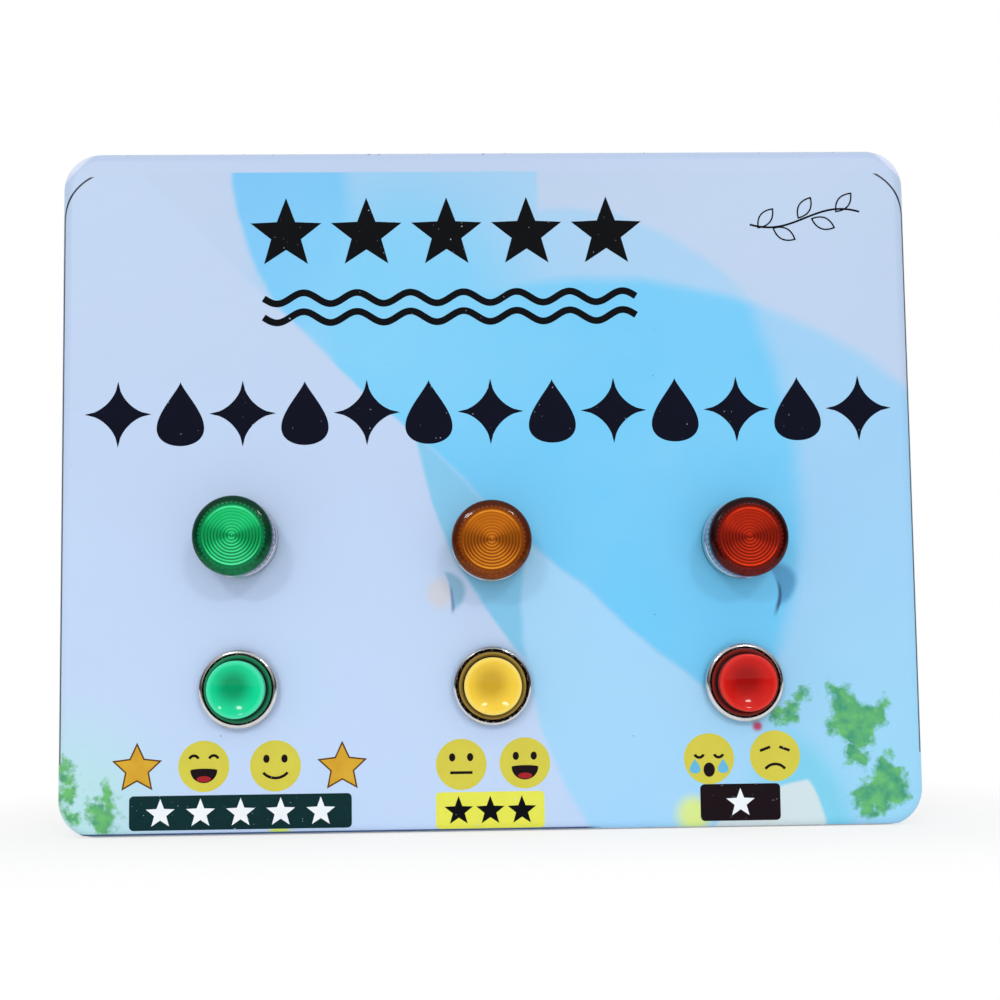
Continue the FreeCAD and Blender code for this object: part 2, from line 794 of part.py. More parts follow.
def button_switch(label, place):
    """Contact block on the barrel's end."""
    block = new_body(label, place)
    grow(block, "button_length", "switch_length", rectangles=[("0", "0", "switch_width", "switch_width")])
    round_edges(block, "switch_wall / 2", lambda edge: edge.BoundBox.YLength > 1)
    depth = "button_length + switch_wall"
    length = "switch_length - switch_wall - switch_back_wall"
    cavity = new_sketch(block, "YZ_Plane", "0")
    draw_rectangle(cavity, f"{depth} + ({length}) / 2", "0", length, "cavity_height")
    hollow = add(block, "Pocket", cavity, "cavity_width", False)
    hollow.Midplane = True
    carve(block, "button_length", "2 * switch_wall", circles=[("0", "0", f"{ROD} + fit_gap")])
    blade_slots(f"{depth} + {length}", "2 * switch_back_wall", block)


def button_bridge(label, place):
    """Brass bridge on the end of the rod."""
    bridge = new_body(label, place)
    bar = ("0", "0", "bridge_length", "bridge_width")
    grow(bridge, ROD_END, "bridge_thickness", rectangles=[bar])


def button(colour, x, z):
    """One push button with its switch."""
    place = (x, FACE, z)
    button_bezel(f"{colour}_button_bezel", place)
    button_guide(f"{colour}_button_guide", place)
    button_body(f"{colour}_button_body", place)
    button_cap(f"{colour}_button_cap", place)
    button_plunger(f"{colour}_button_plunger", place)
    button_spring(f"{colour}_button_spring", place)
    button_bridge(f"{colour}_button_bridge", place)
    button_switch(f"{colour}_button_switch", place)
    blades(f"{colour}_button_contacts", place, CONTACT_TOP, f"({SWITCH_BACK} + blade_reach)")


# Wires from the blades to the board

def bent_path(points, radius):
    """Straight runs joined by tangent arcs of one radius."""
    edges = []
    start = points[0]
    for before, corner, after in zip(points, points[1:], points[2:]):
        back = (before - corner).normalize()
        ahead = (after - corner).normalize()
        half_turn = (ahead - back * -1).Length / 2
        reach = radius * half_turn / (1 - half_turn**2) ** 0.5
        middle = (back + ahead).normalize()
        inner = corner + middle * ((reach**2 + radius**2) ** 0.5 - radius)
        edges.append(Part.LineSegment(start, corner + back * reach).toShape())
        edges.append(Part.Arc(corner + back * reach, inner, corner + ahead * reach).toShape())
        start = corner + ahead * reach
    edges.append(Part.LineSegment(start, points[-1]).toShape())
    return Part.Wire(edges)


def wire(points):
    """A round wire along a bent path."""
    path = bent_path(points, amount("wire_bend"))
    direction = points[1] - points[0]
    section = Part.Wire(Part.Circle(points[0], direction, amount("wire_diameter / 2")).toShape())
    return path.makePipeShell([section], True, False)


def harness(label, places, start, plane, side):
    """Two wires from each lamp or button of a row to the poles of one connector."""
    ends = [(f"{x} + {end} * blade_pitch / 2", z) for x, z in places for end in (-1, 1)]
    wires = []
    for (blade, row), pole in zip(ends, pole_places(side, len(ends))):
        route = [
            (blade, start, row),
            (blade, plane, row),
            (pole, plane, f"{CONNECTOR_FOOT} - wire_lane"),
            (pole, plane, f"{CONNECTOR_FOOT} + port_depth"),
        ]
        wires.append(wire([FreeCAD.Vector(*map(amount, point)) for point in route]))
    feature = doc.addObject("Part::Feature", label)
    feature.Shape = Part.Compound(wires)
    pieces.append(feature)


def build():
    """Make every piece, from the wall to the customer."""
    back_plate()
    cable_grommet()
    front_cover()
    graphic_overlay()
    cover_screws()
    controller_board()
    board_spacers()
    board_screws()
    board_chips()
    connector("lamp_connector", LAMP_POLES, 2 * len(LAMPS), "lamp_wire_rise")
    connector("button_connector", BUTTON_POLES, 2 * len(BUTTONS), "button_wire_rise")
    connector("supply_connector", SUPPLY_POLES, 2, "button_wire_rise")
    panel_gaskets()
    panel_nuts()
    for colour, (x, z) in LAMPS.items():
        lamp(colour, x, z)
    for colour, (x, z) in BUTTONS.items():
        button(colour, x, z)
    lamp_end = f"{FACE} + lamp_length + blade_reach"
    harness("lamp_wires", LAMPS.values(), lamp_end, LAMP_WIRES, LAMP_POLES)
    button_end = f"{FACE} + {SWITCH_BACK} + blade_reach"
    harness("button_wires", BUTTONS.values(), button_end, BUTTON_WIRES, BUTTON_POLES)


def check():
    """Stop if any object failed or any piece has no sound shape."""
    doc.recompute()
    for item in doc.Objects:
        if {"Invalid", "Error"} & set(item.State):
            raise RuntimeError(f"{item.Label} did not build")
    for piece in pieces:
        if piece.Shape.isNull() or not piece.Shape.isValid():
            raise RuntimeError(f"{piece.Label} has no sound shape")


build()
check()
os.makedirs("parts", exist_ok=True)
for piece in pieces:
    piece.Shape.exportStep(f"parts/{piece.Label}.step")
print(len(pieces), "pieces")
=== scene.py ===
import math

import bmesh
import bpy
from mathutils import Matrix, Vector


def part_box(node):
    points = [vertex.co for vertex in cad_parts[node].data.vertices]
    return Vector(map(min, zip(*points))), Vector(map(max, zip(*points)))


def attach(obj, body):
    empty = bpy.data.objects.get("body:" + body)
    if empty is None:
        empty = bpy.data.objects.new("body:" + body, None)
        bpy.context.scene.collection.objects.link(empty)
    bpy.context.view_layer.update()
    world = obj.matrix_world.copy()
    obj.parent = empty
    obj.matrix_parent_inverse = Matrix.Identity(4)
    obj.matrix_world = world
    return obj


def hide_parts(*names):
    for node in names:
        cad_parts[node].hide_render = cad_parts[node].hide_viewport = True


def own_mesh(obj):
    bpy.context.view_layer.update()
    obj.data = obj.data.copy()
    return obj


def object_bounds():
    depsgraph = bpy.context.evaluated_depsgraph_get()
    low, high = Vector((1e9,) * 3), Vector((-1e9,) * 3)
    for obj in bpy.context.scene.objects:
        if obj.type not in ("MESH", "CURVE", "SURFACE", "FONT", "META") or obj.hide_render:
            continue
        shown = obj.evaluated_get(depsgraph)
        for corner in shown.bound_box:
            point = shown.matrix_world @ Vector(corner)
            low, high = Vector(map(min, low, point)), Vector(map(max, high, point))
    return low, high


# Customer feedback terminal: a printed wall box with three pilot lamps above three push buttons.
# Metres. +X is to the right as a customer sees the box, +Y points into the wall and +Z is up.
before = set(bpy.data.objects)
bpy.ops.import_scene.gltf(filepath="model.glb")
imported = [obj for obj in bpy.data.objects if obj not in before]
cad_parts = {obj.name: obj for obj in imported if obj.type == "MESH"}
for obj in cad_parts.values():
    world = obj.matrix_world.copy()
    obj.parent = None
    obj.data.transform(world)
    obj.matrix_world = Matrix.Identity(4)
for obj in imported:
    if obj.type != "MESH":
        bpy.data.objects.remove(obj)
cad_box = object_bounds()


# Back plate
# Flat steel sheet with two folded flanges, screwed to the wall before the cover slides over it.
# It is punched, bent and then zinc plated, so cloudy grey zinc lies over faint rolling lines.

MM = 0.001


def linear(colour):
    """An sRGB hex colour as the linear red, green, blue and alpha that a node takes."""
    parts = [int(colour[start:start + 2], 16) / 255 for start in (0, 2, 4)]
    return [*(part / 12.92 if part <= 0.04045 else ((part + 0.055) / 1.055) ** 2.4 for part in parts), 1]


def feed(node, inputs):
    """Give a node's inputs values, outputs of other nodes, or nodes, whose first live output is meant."""
    for socket, value in inputs.items():
        if isinstance(value, bpy.types.Node):
            value = next(output for output in value.outputs if output.enabled)
        if isinstance(value, bpy.types.NodeSocket):
            node.id_data.links.new(value, node.inputs[socket])
        else:
            node.inputs[socket].default_value = value


def adder(tree):
    """The function that adds a node to this tree, with its settings and with what feeds its inputs."""
    def add(kind, inputs=(), **settings):
        node = tree.nodes.new("ShaderNode" + kind)
        for name, value in settings.items():
            setattr(node, name, value)
        feed(node, dict(inputs))
        return node
    return add


def new_finish(name, **constants):
    """A material, what adds its nodes, its shader with these constants, and its place in millimetres."""
    material = bpy.data.materials.new(name)
    material.use_nodes = True
    shader = material.node_tree.nodes["Principled BSDF"]
    for socket, value in constants.items():
        shader.inputs[socket.replace("_", " ")].default_value = value
    add = adder(material.node_tree)
    place = add("TexCoord").outputs["Object"]
    return material, add, shader, add("Mapping", {"Vector": place, "Scale": (1000, 1000, 1000)})


def plated_metal(name, bright, dull, roughness, cloud, lines):
    """Plated metal: clouds of this size in mm, and drawing or turning marks, so many to the mm each way."""
    material, add, shader, place = new_finish(name, Metallic=1)
    clouds = add("TexNoise", {"Vector": place, "Scale": 1 / cloud, "Detail": 4})
    tint = add("Mix", {0: clouds, 6: linear(bright), 7: linear(dull)}, data_type="RGBA")
    haze = add("MapRange", {0: clouds, 1: 0.3, 2: 0.7, 3: roughness, 4: roughness + 0.14})
    stretched = add("Mapping", {"Vector": place, "Scale": lines})
    marks = add("TexNoise", {"Vector": stretched, "Scale": 1, "Detail": 3})
    relief = add("Bump", {"Height": marks, "Strength": 0.25, "Distance": 0.03 * MM})
    feed(shader, {"Base Color": tint, "Roughness": haze, "Normal": relief})
    return material


def paint(material, *names):
    """Give CAD nodes a finish."""
    for name in names:
        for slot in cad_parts[name].material_slots:
            slot.material = material


# Rolling lines are 0.4 mm apart on the sheet, drawn that coarse so that they show.
zinc_plated_steel = plated_metal("zinc_plated_steel", "c3c7ca", "9a9fa5", 0.34, 5, (2.5, 2.5, 0.05))
paint(zinc_plated_steel, "back_plate")


# Cable grommet
# Bush of black rubber that keeps the supply cable off the plate's edge, moulded and pushed in by hand.

def moulded_rubber(name, colour, bloom):
    """Black rubber: matt, with a pale bloom in patches and a fine pitted skin."""
    material, add, shader, place = new_finish(name, Roughness=0.72, IOR=1.52)
    patches = add("TexNoise", {"Vector": place, "Scale": 1 / 4, "Detail": 5})
    share = add("MapRange", {0: patches, 1: 0.45, 2: 0.75, 3: 0, 4: 0.6})
    tint = add("Mix", {0: share, 6: linear(colour), 7: linear(bloom)}, data_type="RGBA")
    pits = add("TexNoise", {"Vector": place, "Scale": 1 / 0.3, "Detail": 2})
    relief = add("Bump", {"Height": pits, "Strength": 0.4, "Distance": 0.04 * MM})
    feed(shader, {"Base Color": tint, "Normal": relief})
    return material


black_rubber = moulded_rubber("black_rubber", "17181a", "3a3c3f")
paint(black_rubber, "cable_grommet")


# Front cover
# Deep-drawn steel tray with a hole for each lamp and button, held by two screws in each side.
# It is powder coated pale grey inside and out: a soft sheen over the coating's orange peel.

def plain_skin(name, colours, roughness, ior, drift, grain, relief):
    """A plain coat or moulding: colour that drifts to a shade, and a grained surface.

    The drift and the grain each have a size in mm and a detail, and the relief a strength and height.
    """
    material, add, shader, place = new_finish(name, Roughness=roughness, IOR=ior)
    flow = add("TexNoise", {"Vector": place, "Scale": 1 / drift[0], "Detail": drift[1]})
    colour, shade = (linear(tone) for tone in colours)
    tint = add("Mix", {0: flow, 6: colour, 7: shade}, data_type="RGBA")
    skin = add("TexNoise", {"Vector": place, "Scale": 1 / grain[0], "Detail": grain[1]})
    bump = {"Height": skin, "Strength": relief[0], "Distance": relief[1] * MM}
    feed(shader, {"Base Color": tint, "Normal": add("Bump", bump)})
    return material


# Baked powder paint has an even colour and an orange peel about 1.2 mm across.
pale_powder_coat = plain_skin(
    "pale_powder_coat", ("dde1e8", "cfd4dd"), 0.42, 1.5, (40, 3), (1.2, 1), (0.35, 0.05)
)
paint(pale_powder_coat, "front_cover")


# Cover screws
# Slotted cheese-head machine screws, turned from steel and nickel plated, two in each side.

nickel_plated_steel = plated_metal("nickel_plated_steel", "d6d2c8", "a9a49a", 0.22, 2, (3, 3, 3))
paint(nickel_plated_steel, "cover_screws")


# Controller board, its spacers and screws
# Glass-fibre laminate with etched copper under a green solder mask, on four threaded spacers.

def solder_mask(name, mask, copper):
    """Green lacquer over copper tracks: the tracks show as paler lines standing slightly proud."""
    material, add, shader, place = new_finish(name, Roughness=0.3, IOR=1.52, Coat_Weight=0.5)
    grid = add("Mapping", {"Vector": place, "Rotation": (math.pi / 2, 0, 0)})
    tracks = add(
        "TexBrick",
        {"Vector": grid, "Scale": 1, "Mortar Size": 0.35, "Brick Width": 9, "Row Height": 2.6},
    )
    tint = add("Mix", {0: tracks.outputs["Fac"], 6: linear(mask), 7: linear(copper)}, data_type="RGBA")
    weave = add("TexNoise", {"Vector": place, "Scale": 1 / 1.5, "Detail": 2})
    mottled = add("HueSaturation", {"Color": tint, "Value": weave, "Saturation": 1.1})
    bright = add("Mix", {0: 0.45, 6: tint, 7: mottled}, data_type="RGBA")
    relief = add("Bump", {"Height": tracks.outputs["Fac"], "Strength": 0.5, "Distance": 0.04 * MM})
    feed(shader, {"Base Color": bright, "Normal": relief})
    return material


green_solder_mask = solder_mask("green_solder_mask", "0f5a34", "3c8c55")
paint(green_solder_mask, "controller_board")
paint(nickel_plated_steel, "board_spacers", "board_screws")


# Processor and radio module
# A black epoxy chip, and a radio under a drawn tin-plated can, both soldered flat on the board.

def moulded_plastic(name, colour, shade, roughness, grain):
    """Injection-moulded plastic: faint flow marks in the colour and a spark-eroded grain in mm."""
    return plain_skin(name, (colour, shade), roughness, 1.5, (7, 3), (grain, 2), (0.3, 0.03))


paint(moulded_plastic("moulded_epoxy", "1b1c1e", "2a2b2e", 0.55, 0.25), "processor")
tin_plated_can = plated_metal("tin_plated_can", "cfd0cd", "a8aaa8", 0.25, 3, (0.3, 3, 3))
paint(tin_plated_can, "radio_module")


# Connectors
# Screw connectors of green moulded nylon, one for the lamps, one for the buttons and one for the supply.

moulded_nylon = moulded_plastic("moulded_nylon", "2c9a55", "23834a", 0.42, 0.4)
paint(moulded_nylon, "lamp_connector", "button_connector", "supply_connector")


# Printed film
# Self-adhesive vinyl over the front, printed with a sky-blue sweep and laminated half gloss.
# Its edge is folded over the top and sides and trimmed just above the bottom edge of the box.

def printed_vinyl(name):
    """Printed and laminated vinyl: the printed ground, its cut line, dirt specks and worn top edge."""
    material, add, shader, place = new_finish(name, Roughness=0.36, IOR=1.47)
    front = add("Mapping", {"Vector": place, "Scale": (1, 0, 1)})
    spread = add("SeparateXYZ", {0: front}).outputs
    across, up = spread["X"], spread["Z"]
    waver = add("TexNoise", {"Vector": front, "Scale": 1 / 30, "Detail": 2})
    half_back = add("Mapping", {"Vector": front, "Location": (-2.5, 0, -2.5)})
    shifted = add(
        "VectorMath", {0: waver.outputs["Color"], 1: (5, 0, 5), 2: half_back}, operation="MULTIPLY_ADD"
    )

    # Wide discs whose edges are the petals' outlines: place of the centre in mm, radius and softness,
    # which is below zero where the outside of the disc is meant
    discs = {}
    for outline, x, z, radius, soft in (
        ("slope", 2031, 2201, 3000, 1.5),
        ("swoop", 2, 125, 98, 1.5),
        ("crown", -130, 108, 78, 5),
        ("half", -481, 112, 500, 1),
        ("arch", 23, -1, 106, 2),
        ("flank", -65, -8, 181, 5),
        ("bow", 42, -100, 178, 3),
        ("wedge", 165, 61, 198, 1),
        ("petal", 161, -45, 150, 1.5),
        ("glow", -32, 64, 46, 28),
        ("haze", 150, -125, 70, 55),
        ("lower", -60, -150, 120, 110),
        ("blush", -17.7, -40, 5.4, 2.6),
        ("smudge", -16.4, -39.4, 7.4, 1.2),
        ("smudge in", -35.8, -43.5, 21.9, 0.7),
        ("smudge out", -35.8, -43.5, 21.9, -0.7),
        ("smudge edge", -34.9, -44.4, 21.9, 0.5),
        ("smudge low", -13.2, -42.2, 4.6, 2),
        ("smear", 106, -38.2, 7.9, 1.6),
        ("smear out", 88.7, -42.1, 18.7, -0.7),
        ("smear edge", 89.7, -42.8, 18.7, 0.5),
        ("smear low", 107, -43, 5.4, 2.6),
        ("mint", -152, -116, 26, 22),
        ("stream", 52, -150, 84, 5),
        ("far bank", 143, -122, 44, 12),
        ("foam", 52, -150, 75, 0.8),
        ("near bank", 130, -187, 78, 0.8),
        ("lime", 73, -122, 6, 3),
        ("low lime", -79, -128, 4, 1.5),
        ("berry", 98, -90.5, 1.8, 1),
    ):
        away = add("VectorMath", {0: shifted, 1: (x, 0, z)}, operation="DISTANCE")
        edge = add(
            "MapRange", {0: away, 1: radius + soft, 2: radius - soft}, interpolation_type="SMOOTHSTEP"
        )
        discs[outline] = edge

    # Translucent petals laid one over another, each where all of its discs overlap
    layers = []
    for outlines, tone in (
        (("lower",), "c4dafb"),
        (("wedge",), "81caf0"),
        (("petal",), "a4d8fb"),
        (("slope",), "bed2ef"),
        (("swoop", "half"), "a2d1f5"),
        (("slope", "arch", "flank"), "a6d1f4"),
        (("slope", "bow"), "9cd0f6"),
        (("slope", "bow", "haze"), "9ad7f8"),
        (("slope", "bow", "arch", "flank"), "6cccfa"),
        (("swoop", "crown"), "70c6fa"),
        (("slope", "glow"), "78d0fb"),
        (("mint",), "b9e4ea"),
        (("stream", "far bank"), "7dd2f0"),
        (("foam", "near bank"), "d6e6ea"),
        (("blush", "smudge in"), "d2d3dd"),
        (("smudge", "smudge out"), "86b6d6"),
        (("smudge edge", "smudge out", "smudge low"), "5b7da6"),
        (("smear", "smear out"), "4fa0d0"),
        (("smear edge", "smear out", "smear low"), "2c4f78"),
        (("lime",), "dff08a"),
        (("low lime",), "d6ea62"),
        (("berry",), "b8456c"),
    ):
        share = discs[outlines[0]]
        for outline in outlines[1:]:
            share = add("Math", {0: share, 1: discs[outline]}, operation="MULTIPLY")
        layers.append((share, linear(tone)))

    # Faint clouds in the printed sky, 40 mm across
    clouds = add("TexNoise", {"Vector": front, "Scale": 1 / 40, "Detail": 3})
    cloudy = add("MapRange", {0: clouds, 1: 0.4, 2: 0.75, 3: 0, 4: 0.1})
    layers.append((cloudy, linear("b5e0f8")))

    # Blurred leaves at the lower corners: ragged patches, mottled in two greens
    ragged = add("TexNoise", {"Vector": front, "Scale": 1 / 7, "Detail": 5, "Roughness": 0.6})
    torn = add(
        "VectorMath", {0: ragged.outputs["Color"], 1: (20, 0, 20), 2: front}, operation="MULTIPLY_ADD"
    )
    leaves = 0
    for x, z, radius in (
        (133.4, -89, 9.2), (128.5, -80, 4.2), (141, -86, 5.6), (134, -101, 4.4), (145, -114, 8.4),
        (145.2, -106, 4), (137.5, -118, 4.2), (110, -84, 3.8), (114.5, -79, 3), (106.5, -86.5, 2.4),
        (-156.5, -103, 3.4), (-155.5, -111, 3.8), (-154, -119, 2.8), (-142, -113, 3.8), (-142, -120.5, 6),
    ):
        centre = (x + 10, 0, z + 10)
        away = add("VectorMath", {0: torn, 1: centre}, operation="DISTANCE")
        patch = add("MapRange", {0: away, 1: radius + 1.4, 2: radius - 1.4})
        leaves = add("Math", {0: leaves, 1: patch}, operation="MAXIMUM")
    mottle = add("TexNoise", {"Vector": front, "Scale": 1 / 4.5, "Detail": 4})
    blotch = add("MapRange", {0: mottle, 1: 0.36, 2: 0.62})
    green = add("Mix", {0: blotch, 6: linear("17915a"), 7: linear("5cba4e")}, data_type="RGBA")
    dense = add("Math", {0: leaves, 1: 0.9}, operation="MULTIPLY")
    layers.append((dense, green))

    # The picture stops 8 mm under the top edge, and plain ground is printed above it
    margin = add("MapRange", {0: up, 1: 119.4, 2: 120})
    layers.append((margin, linear("c0d3f1")))

    # All of the print, made darker towards the top
    printed = linear("c0d4f2")
    for share, tone in layers:
        printed = add("Mix", {0: share, 6: printed, 7: tone}, data_type="RGBA")
    darker_to_top = add("MapRange", {0: up, 1: -20, 2: 120, 3: 1, 4: 0.905})
    colour = add("HueSaturation", {"Color": printed, "Value": darker_to_top})

    # A band of the film is paler where it is folded at each upper corner
    sides = add("Math", {0: across}, operation="ABSOLUTE")
    inner = add("MapRange", {0: sides, 1: 145, 2: 152})
    upper = add("MapRange", {0: up, 1: 113, 2: 120})
    diagonal = add("Math", {0: sides, 1: up}, operation="ADD")
    folded = add("MapRange", {0: diagonal, 1: 274, 2: 275.5, 3: 0, 4: 0.85})
    corner = add("Math", {0: inner, 1: upper}, operation="MULTIPLY")
    pale_fold_band = add("Math", {0: corner, 1: folded}, operation="MULTIPLY")

    # Cut line 0.7 mm wide, printed up both sides and round the upper corners
    mirrored = add("VectorMath", {0: front}, operation="ABSOLUTE")
    past_corner = add("VectorMath", {0: mirrored, 1: (139.3, 0, 101.1)}, operation="SUBTRACT")
    clamped = add("VectorMath", {0: past_corner, 1: (0, 0, 0)}, operation="MAXIMUM")
    reach = add("VectorMath", {0: clamped}, operation="LENGTH")
    offset = add("Math", {0: reach, 1: 19.3}, operation="SUBTRACT")
    width = add("Math", {0: offset}, operation="ABSOLUTE")
    line = add("MapRange", {0: width, 1: 0.45, 2: 0.25})
    from_middle = add("Math", {0: up, 1: 8.7}, operation="SUBTRACT")
    height = add("Math", {0: from_middle}, operation="ABSOLUTE")
    between = add("MapRange", {0: height, 1: 109.7, 2: 109.3})
    beside = add("Math", {0: line, 1: between}, operation="MULTIPLY")

    # A strip of dark blue border is left along the trimmed lower edge, from the left to past the middle
    strip = add("MapRange", {0: up, 1: -125.9, 2: -126.2})
    left_part = add("MapRange", {0: across, 1: 40, 2: 34})
    border = add("Math", {0: strip, 1: left_part}, operation="MULTIPLY")

    # Dirt specks about 0.5 mm across on the face, in roughly one of every four 9 mm cells
    cells = add("TexVoronoi", {"Vector": front, "Scale": 1 / 9})
    near = add("MapRange", {0: cells.outputs["Distance"], 1: 0.035, 2: 0.015})
    odd = add("SeparateXYZ", {0: cells.outputs["Color"]})
    chosen = add("Math", {0: odd.outputs["X"], 1: 0.72}, operation="GREATER_THAN")
    specks = add("Math", {0: near, 1: chosen}, operation="MULTIPLY")
    raised = add("SeparateXYZ", {0: place}).outputs
    facing = add("MapRange", {0: raised["Y"], 1: -78, 2: -79.5})
    dirty = add("Math", {0: specks, 1: facing}, operation="MULTIPLY")

    # Brown chips along the top edge
    chips = add("TexNoise", {"Vector": place, "Scale": 1 / 1.6, "Detail": 4})
    high = add("MapRange", {0: raised["Z"], 1: 125.4, 2: 127.4})
    forward = add("MapRange", {0: raised["Y"], 1: -70, 2: -75, 3: 0, 4: 0.16})
    edge = add("Math", {0: high, 1: forward}, operation="MULTIPLY")
    worn = add("Math", {0: chips, 1: edge}, operation="ADD")
    bare = add("MapRange", {0: worn, 1: 0.76, 2: 0.8})
    for share, tone in (
        (pale_fold_band, "dfe5fb"), (beside, "16161f"), (border, "1c4a7c"), (dirty, "5c6380"), (bare, "6d5f55"),
    ):
        colour = add("Mix", {0: share, 6: colour, 7: linear(tone)}, data_type="RGBA")

    # Laminate: long shallow waves where it was pressed down by hand, and a fine rolled texture
    waves = add("TexNoise", {"Vector": place, "Scale": 1 / 14, "Detail": 2})
    rolled = add("TexNoise", {"Vector": place, "Scale": 1 / 0.8, "Detail": 1})
    soft_waves = add("Bump", {"Height": waves, "Strength": 0.4, "Distance": 0.35 * MM})
    relief = add(
        "Bump", {"Height": rolled, "Strength": 0.2, "Distance": 0.02 * MM, "Normal": soft_waves}
    )
    feed(shader, {"Base Color": colour, "Normal": relief})
    return material


paint(printed_vinyl("printed_vinyl"), "graphic_overlay")


# Printed marks
# Screen-printed inks: stars, waves, a band of drops and sparkles, plain faces and badges of stars.
# Each ink layer is drawn 0.04 mm thick, more than it is, so that it stays clear of the film.

INK = 0.04 * MM
ROLL = 4 * MM
ROLL_CUTS = 4
film_low, film_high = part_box("graphic_overlay")
FACE = film_low.y
FLAT_BOTTOM = ROLL - film_high.z


def on_face(x, z):
    """A matrix that stands a flat shape up on the film's face, at a place in mm."""
    return Matrix.Translation((x * MM, FACE, z * MM)) @ Matrix.Rotation(math.pi / 2, 4, "X")


def add_disc(bm, x, z, radius, sides=48):
    """A flat disc in mm on the face of the film; returns its rim, from the top, anticlockwise."""
    made = bmesh.ops.create_circle(
        bm, cap_ends=True, segments=sides, radius=radius * MM, matrix=on_face(x, z)
    )
    return made["verts"]


def shape_disc(verts, x, z, rule):
    """Move a disc's rim by a rule that takes and gives an offset from its centre in mm."""
    for vert in verts:
        across, up = rule((vert.co.x / MM - x), (vert.co.z / MM - z))
        vert.co.x = (x + across) * MM
        vert.co.z = (z + up) * MM


def add_star(bm, x, z, radius, inner=0.42):
    """A five-pointed star."""
    rim = add_disc(bm, x, z, radius, 10)
    centre = Matrix.Translation((-x * MM, 0, -z * MM))
    bmesh.ops.scale(bm, verts=rim[1::2], vec=(inner, 1, inner), space=centre)


def add_stroke(bm, x, z, width, path, steps=32):
    """A band of this width along a path, a function from -1 to 1 to an offset in mm."""
    grid = bmesh.ops.create_grid(
        bm, x_segments=steps, y_segments=1, size=1, matrix=Matrix.Rotation(math.pi / 2, 4, "X")
    )
    for vert in grid["verts"]:
        share, side = vert.co.x, vert.co.z
        here = Vector(path(share))
        ahead = Vector(path(share + 0.01)) - Vector(path(share - 0.01))
        normal = Vector((-ahead.y, ahead.x)).normalized()
        across, up = here + normal * side * width / 2
        vert.co = ((x + across) * MM, FACE, (z + up) * MM)


def arc(radius, half_angle, middle=-90):
    """A path along part of a circle, with the middle of its arc at this many degrees."""
    def path(share):
        angle = math.radians(middle + share * half_angle)
        return radius * math.cos(angle), radius * math.sin(angle)
    return path


def make_piece(bm, name, material, body, slot, *replaced):
    """Make a piece of a mesh, in one material, riding on a body."""
    mesh = bpy.data.meshes.new(name)
    bm.to_mesh(mesh)
    bm.free()
    mesh.materials.append(material)
    piece = bpy.data.objects.new(name, mesh)
    bpy.context.scene.collection.objects.link(piece)
    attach(piece, body)
    if replaced:
        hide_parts(*replaced)
    return piece


def print_ink(bm, name, material, layer):
    """Lay flat shapes on the film in one ink, bent over the rolled lower edge where they reach it."""
    for step in range(ROLL_CUTS):
        cut = Vector((0, 0, FLAT_BOTTOM - step * MM))
        bmesh.ops.bisect_plane(
            bm, geom=bm.verts[:] + bm.edges[:] + bm.faces[:], plane_co=cut, plane_no=(0, 0, 1)
        )
    for vert in bm.verts:
        past = min(max(0, FLAT_BOTTOM - vert.co.z), ROLL)
        vert.co.y += ROLL - math.sqrt(ROLL ** 2 - past ** 2) - (layer - 1) * INK
    under = bmesh.ops.extrude_face_region(bm, geom=bm.faces[:])["geom"]
    raised = [item for item in under if isinstance(item, bmesh.types.BMVert)]
    bmesh.ops.translate(bm, verts=raised, vec=(0, -INK, 0))
    bmesh.ops.recalc_face_normals(bm, faces=bm.faces)
    make_piece(bm, name, material, "box", "print_film")


def screen_ink(name, colour, thin, wear=0.73):
    """Screen-printed ink: dense colour, thinner in clouds, with pinholes down to the film."""
    material, add, shader, place = new_finish(name, Roughness=0.5, Specular_IOR_Level=0.08)
    clouds = add("TexNoise", {"Vector": place, "Scale": 1 / 8, "Detail": 3})
    tint = add("Mix", {0: clouds, 6: linear(colour), 7: linear(thin)}, data_type="RGBA")
    grit = add("TexNoise", {"Vector": place, "Scale": 1 / 1.1, "Detail": 3})
    holes = add("MapRange", {0: grit, 1: wear, 2: wear + 0.02})
    pitted = add("Mix", {0: holes, 6: tint, 7: linear("c6d8f2")}, data_type="RGBA")
    relief = add("Bump", {"Height": grit, "Strength": 0.2, "Distance": 0.02 * MM})
    feed(shader, {"Base Color": pitted, "Normal": relief})
    return material


black_ink = screen_ink("screen_ink_black", "020308", "06080f")
navy_ink = screen_ink("screen_ink_navy", "03061a", "080c24")
gold_ink = screen_ink("screen_ink_gold", "e3b93c", "c98f25", 1)
yellow_ink = screen_ink("screen_ink_yellow", "dcd350", "d3c748", 1)
brown_ink = screen_ink("screen_ink_brown", "6b3f16", "54300f", 1)
red_ink = screen_ink("screen_ink_red", "b3282c", "93202a", 1)
tear_ink = screen_ink("screen_ink_blue", "5cb4de", "74c3e6", 1)
white_ink = screen_ink("screen_ink_white", "fbfdff", "eef4fc", 1)
lemon_ink = screen_ink("screen_ink_lemon", "efef5e", "e4e452", 0.72)
forest_ink = screen_ink("screen_ink_forest", "082a2e", "0a3335", 0.72)
umber_ink = screen_ink("screen_ink_umber", "160b12", "1d0f15", 0.72)

# Five stars across the head of the panel
HEAD_PITCH = 30.2
stars = bmesh.new()
for step in range(5):
    add_star(stars, -75.6 + HEAD_PITCH * step, 95.8, 14)
print_ink(stars, "header_stars", black_ink, 1)


# Two waves under them
def wavy(share):
    """A path of seven waves, 140 mm long."""
    return 70 * share, 2.1 * math.sin(share * 7 * math.pi)


waves = bmesh.new()
for height in (71.4, 64.2):
    add_stroke(waves, -14, height, 2.6, wavy, 168)
print_ink(waves, "header_waves", black_ink, 1)


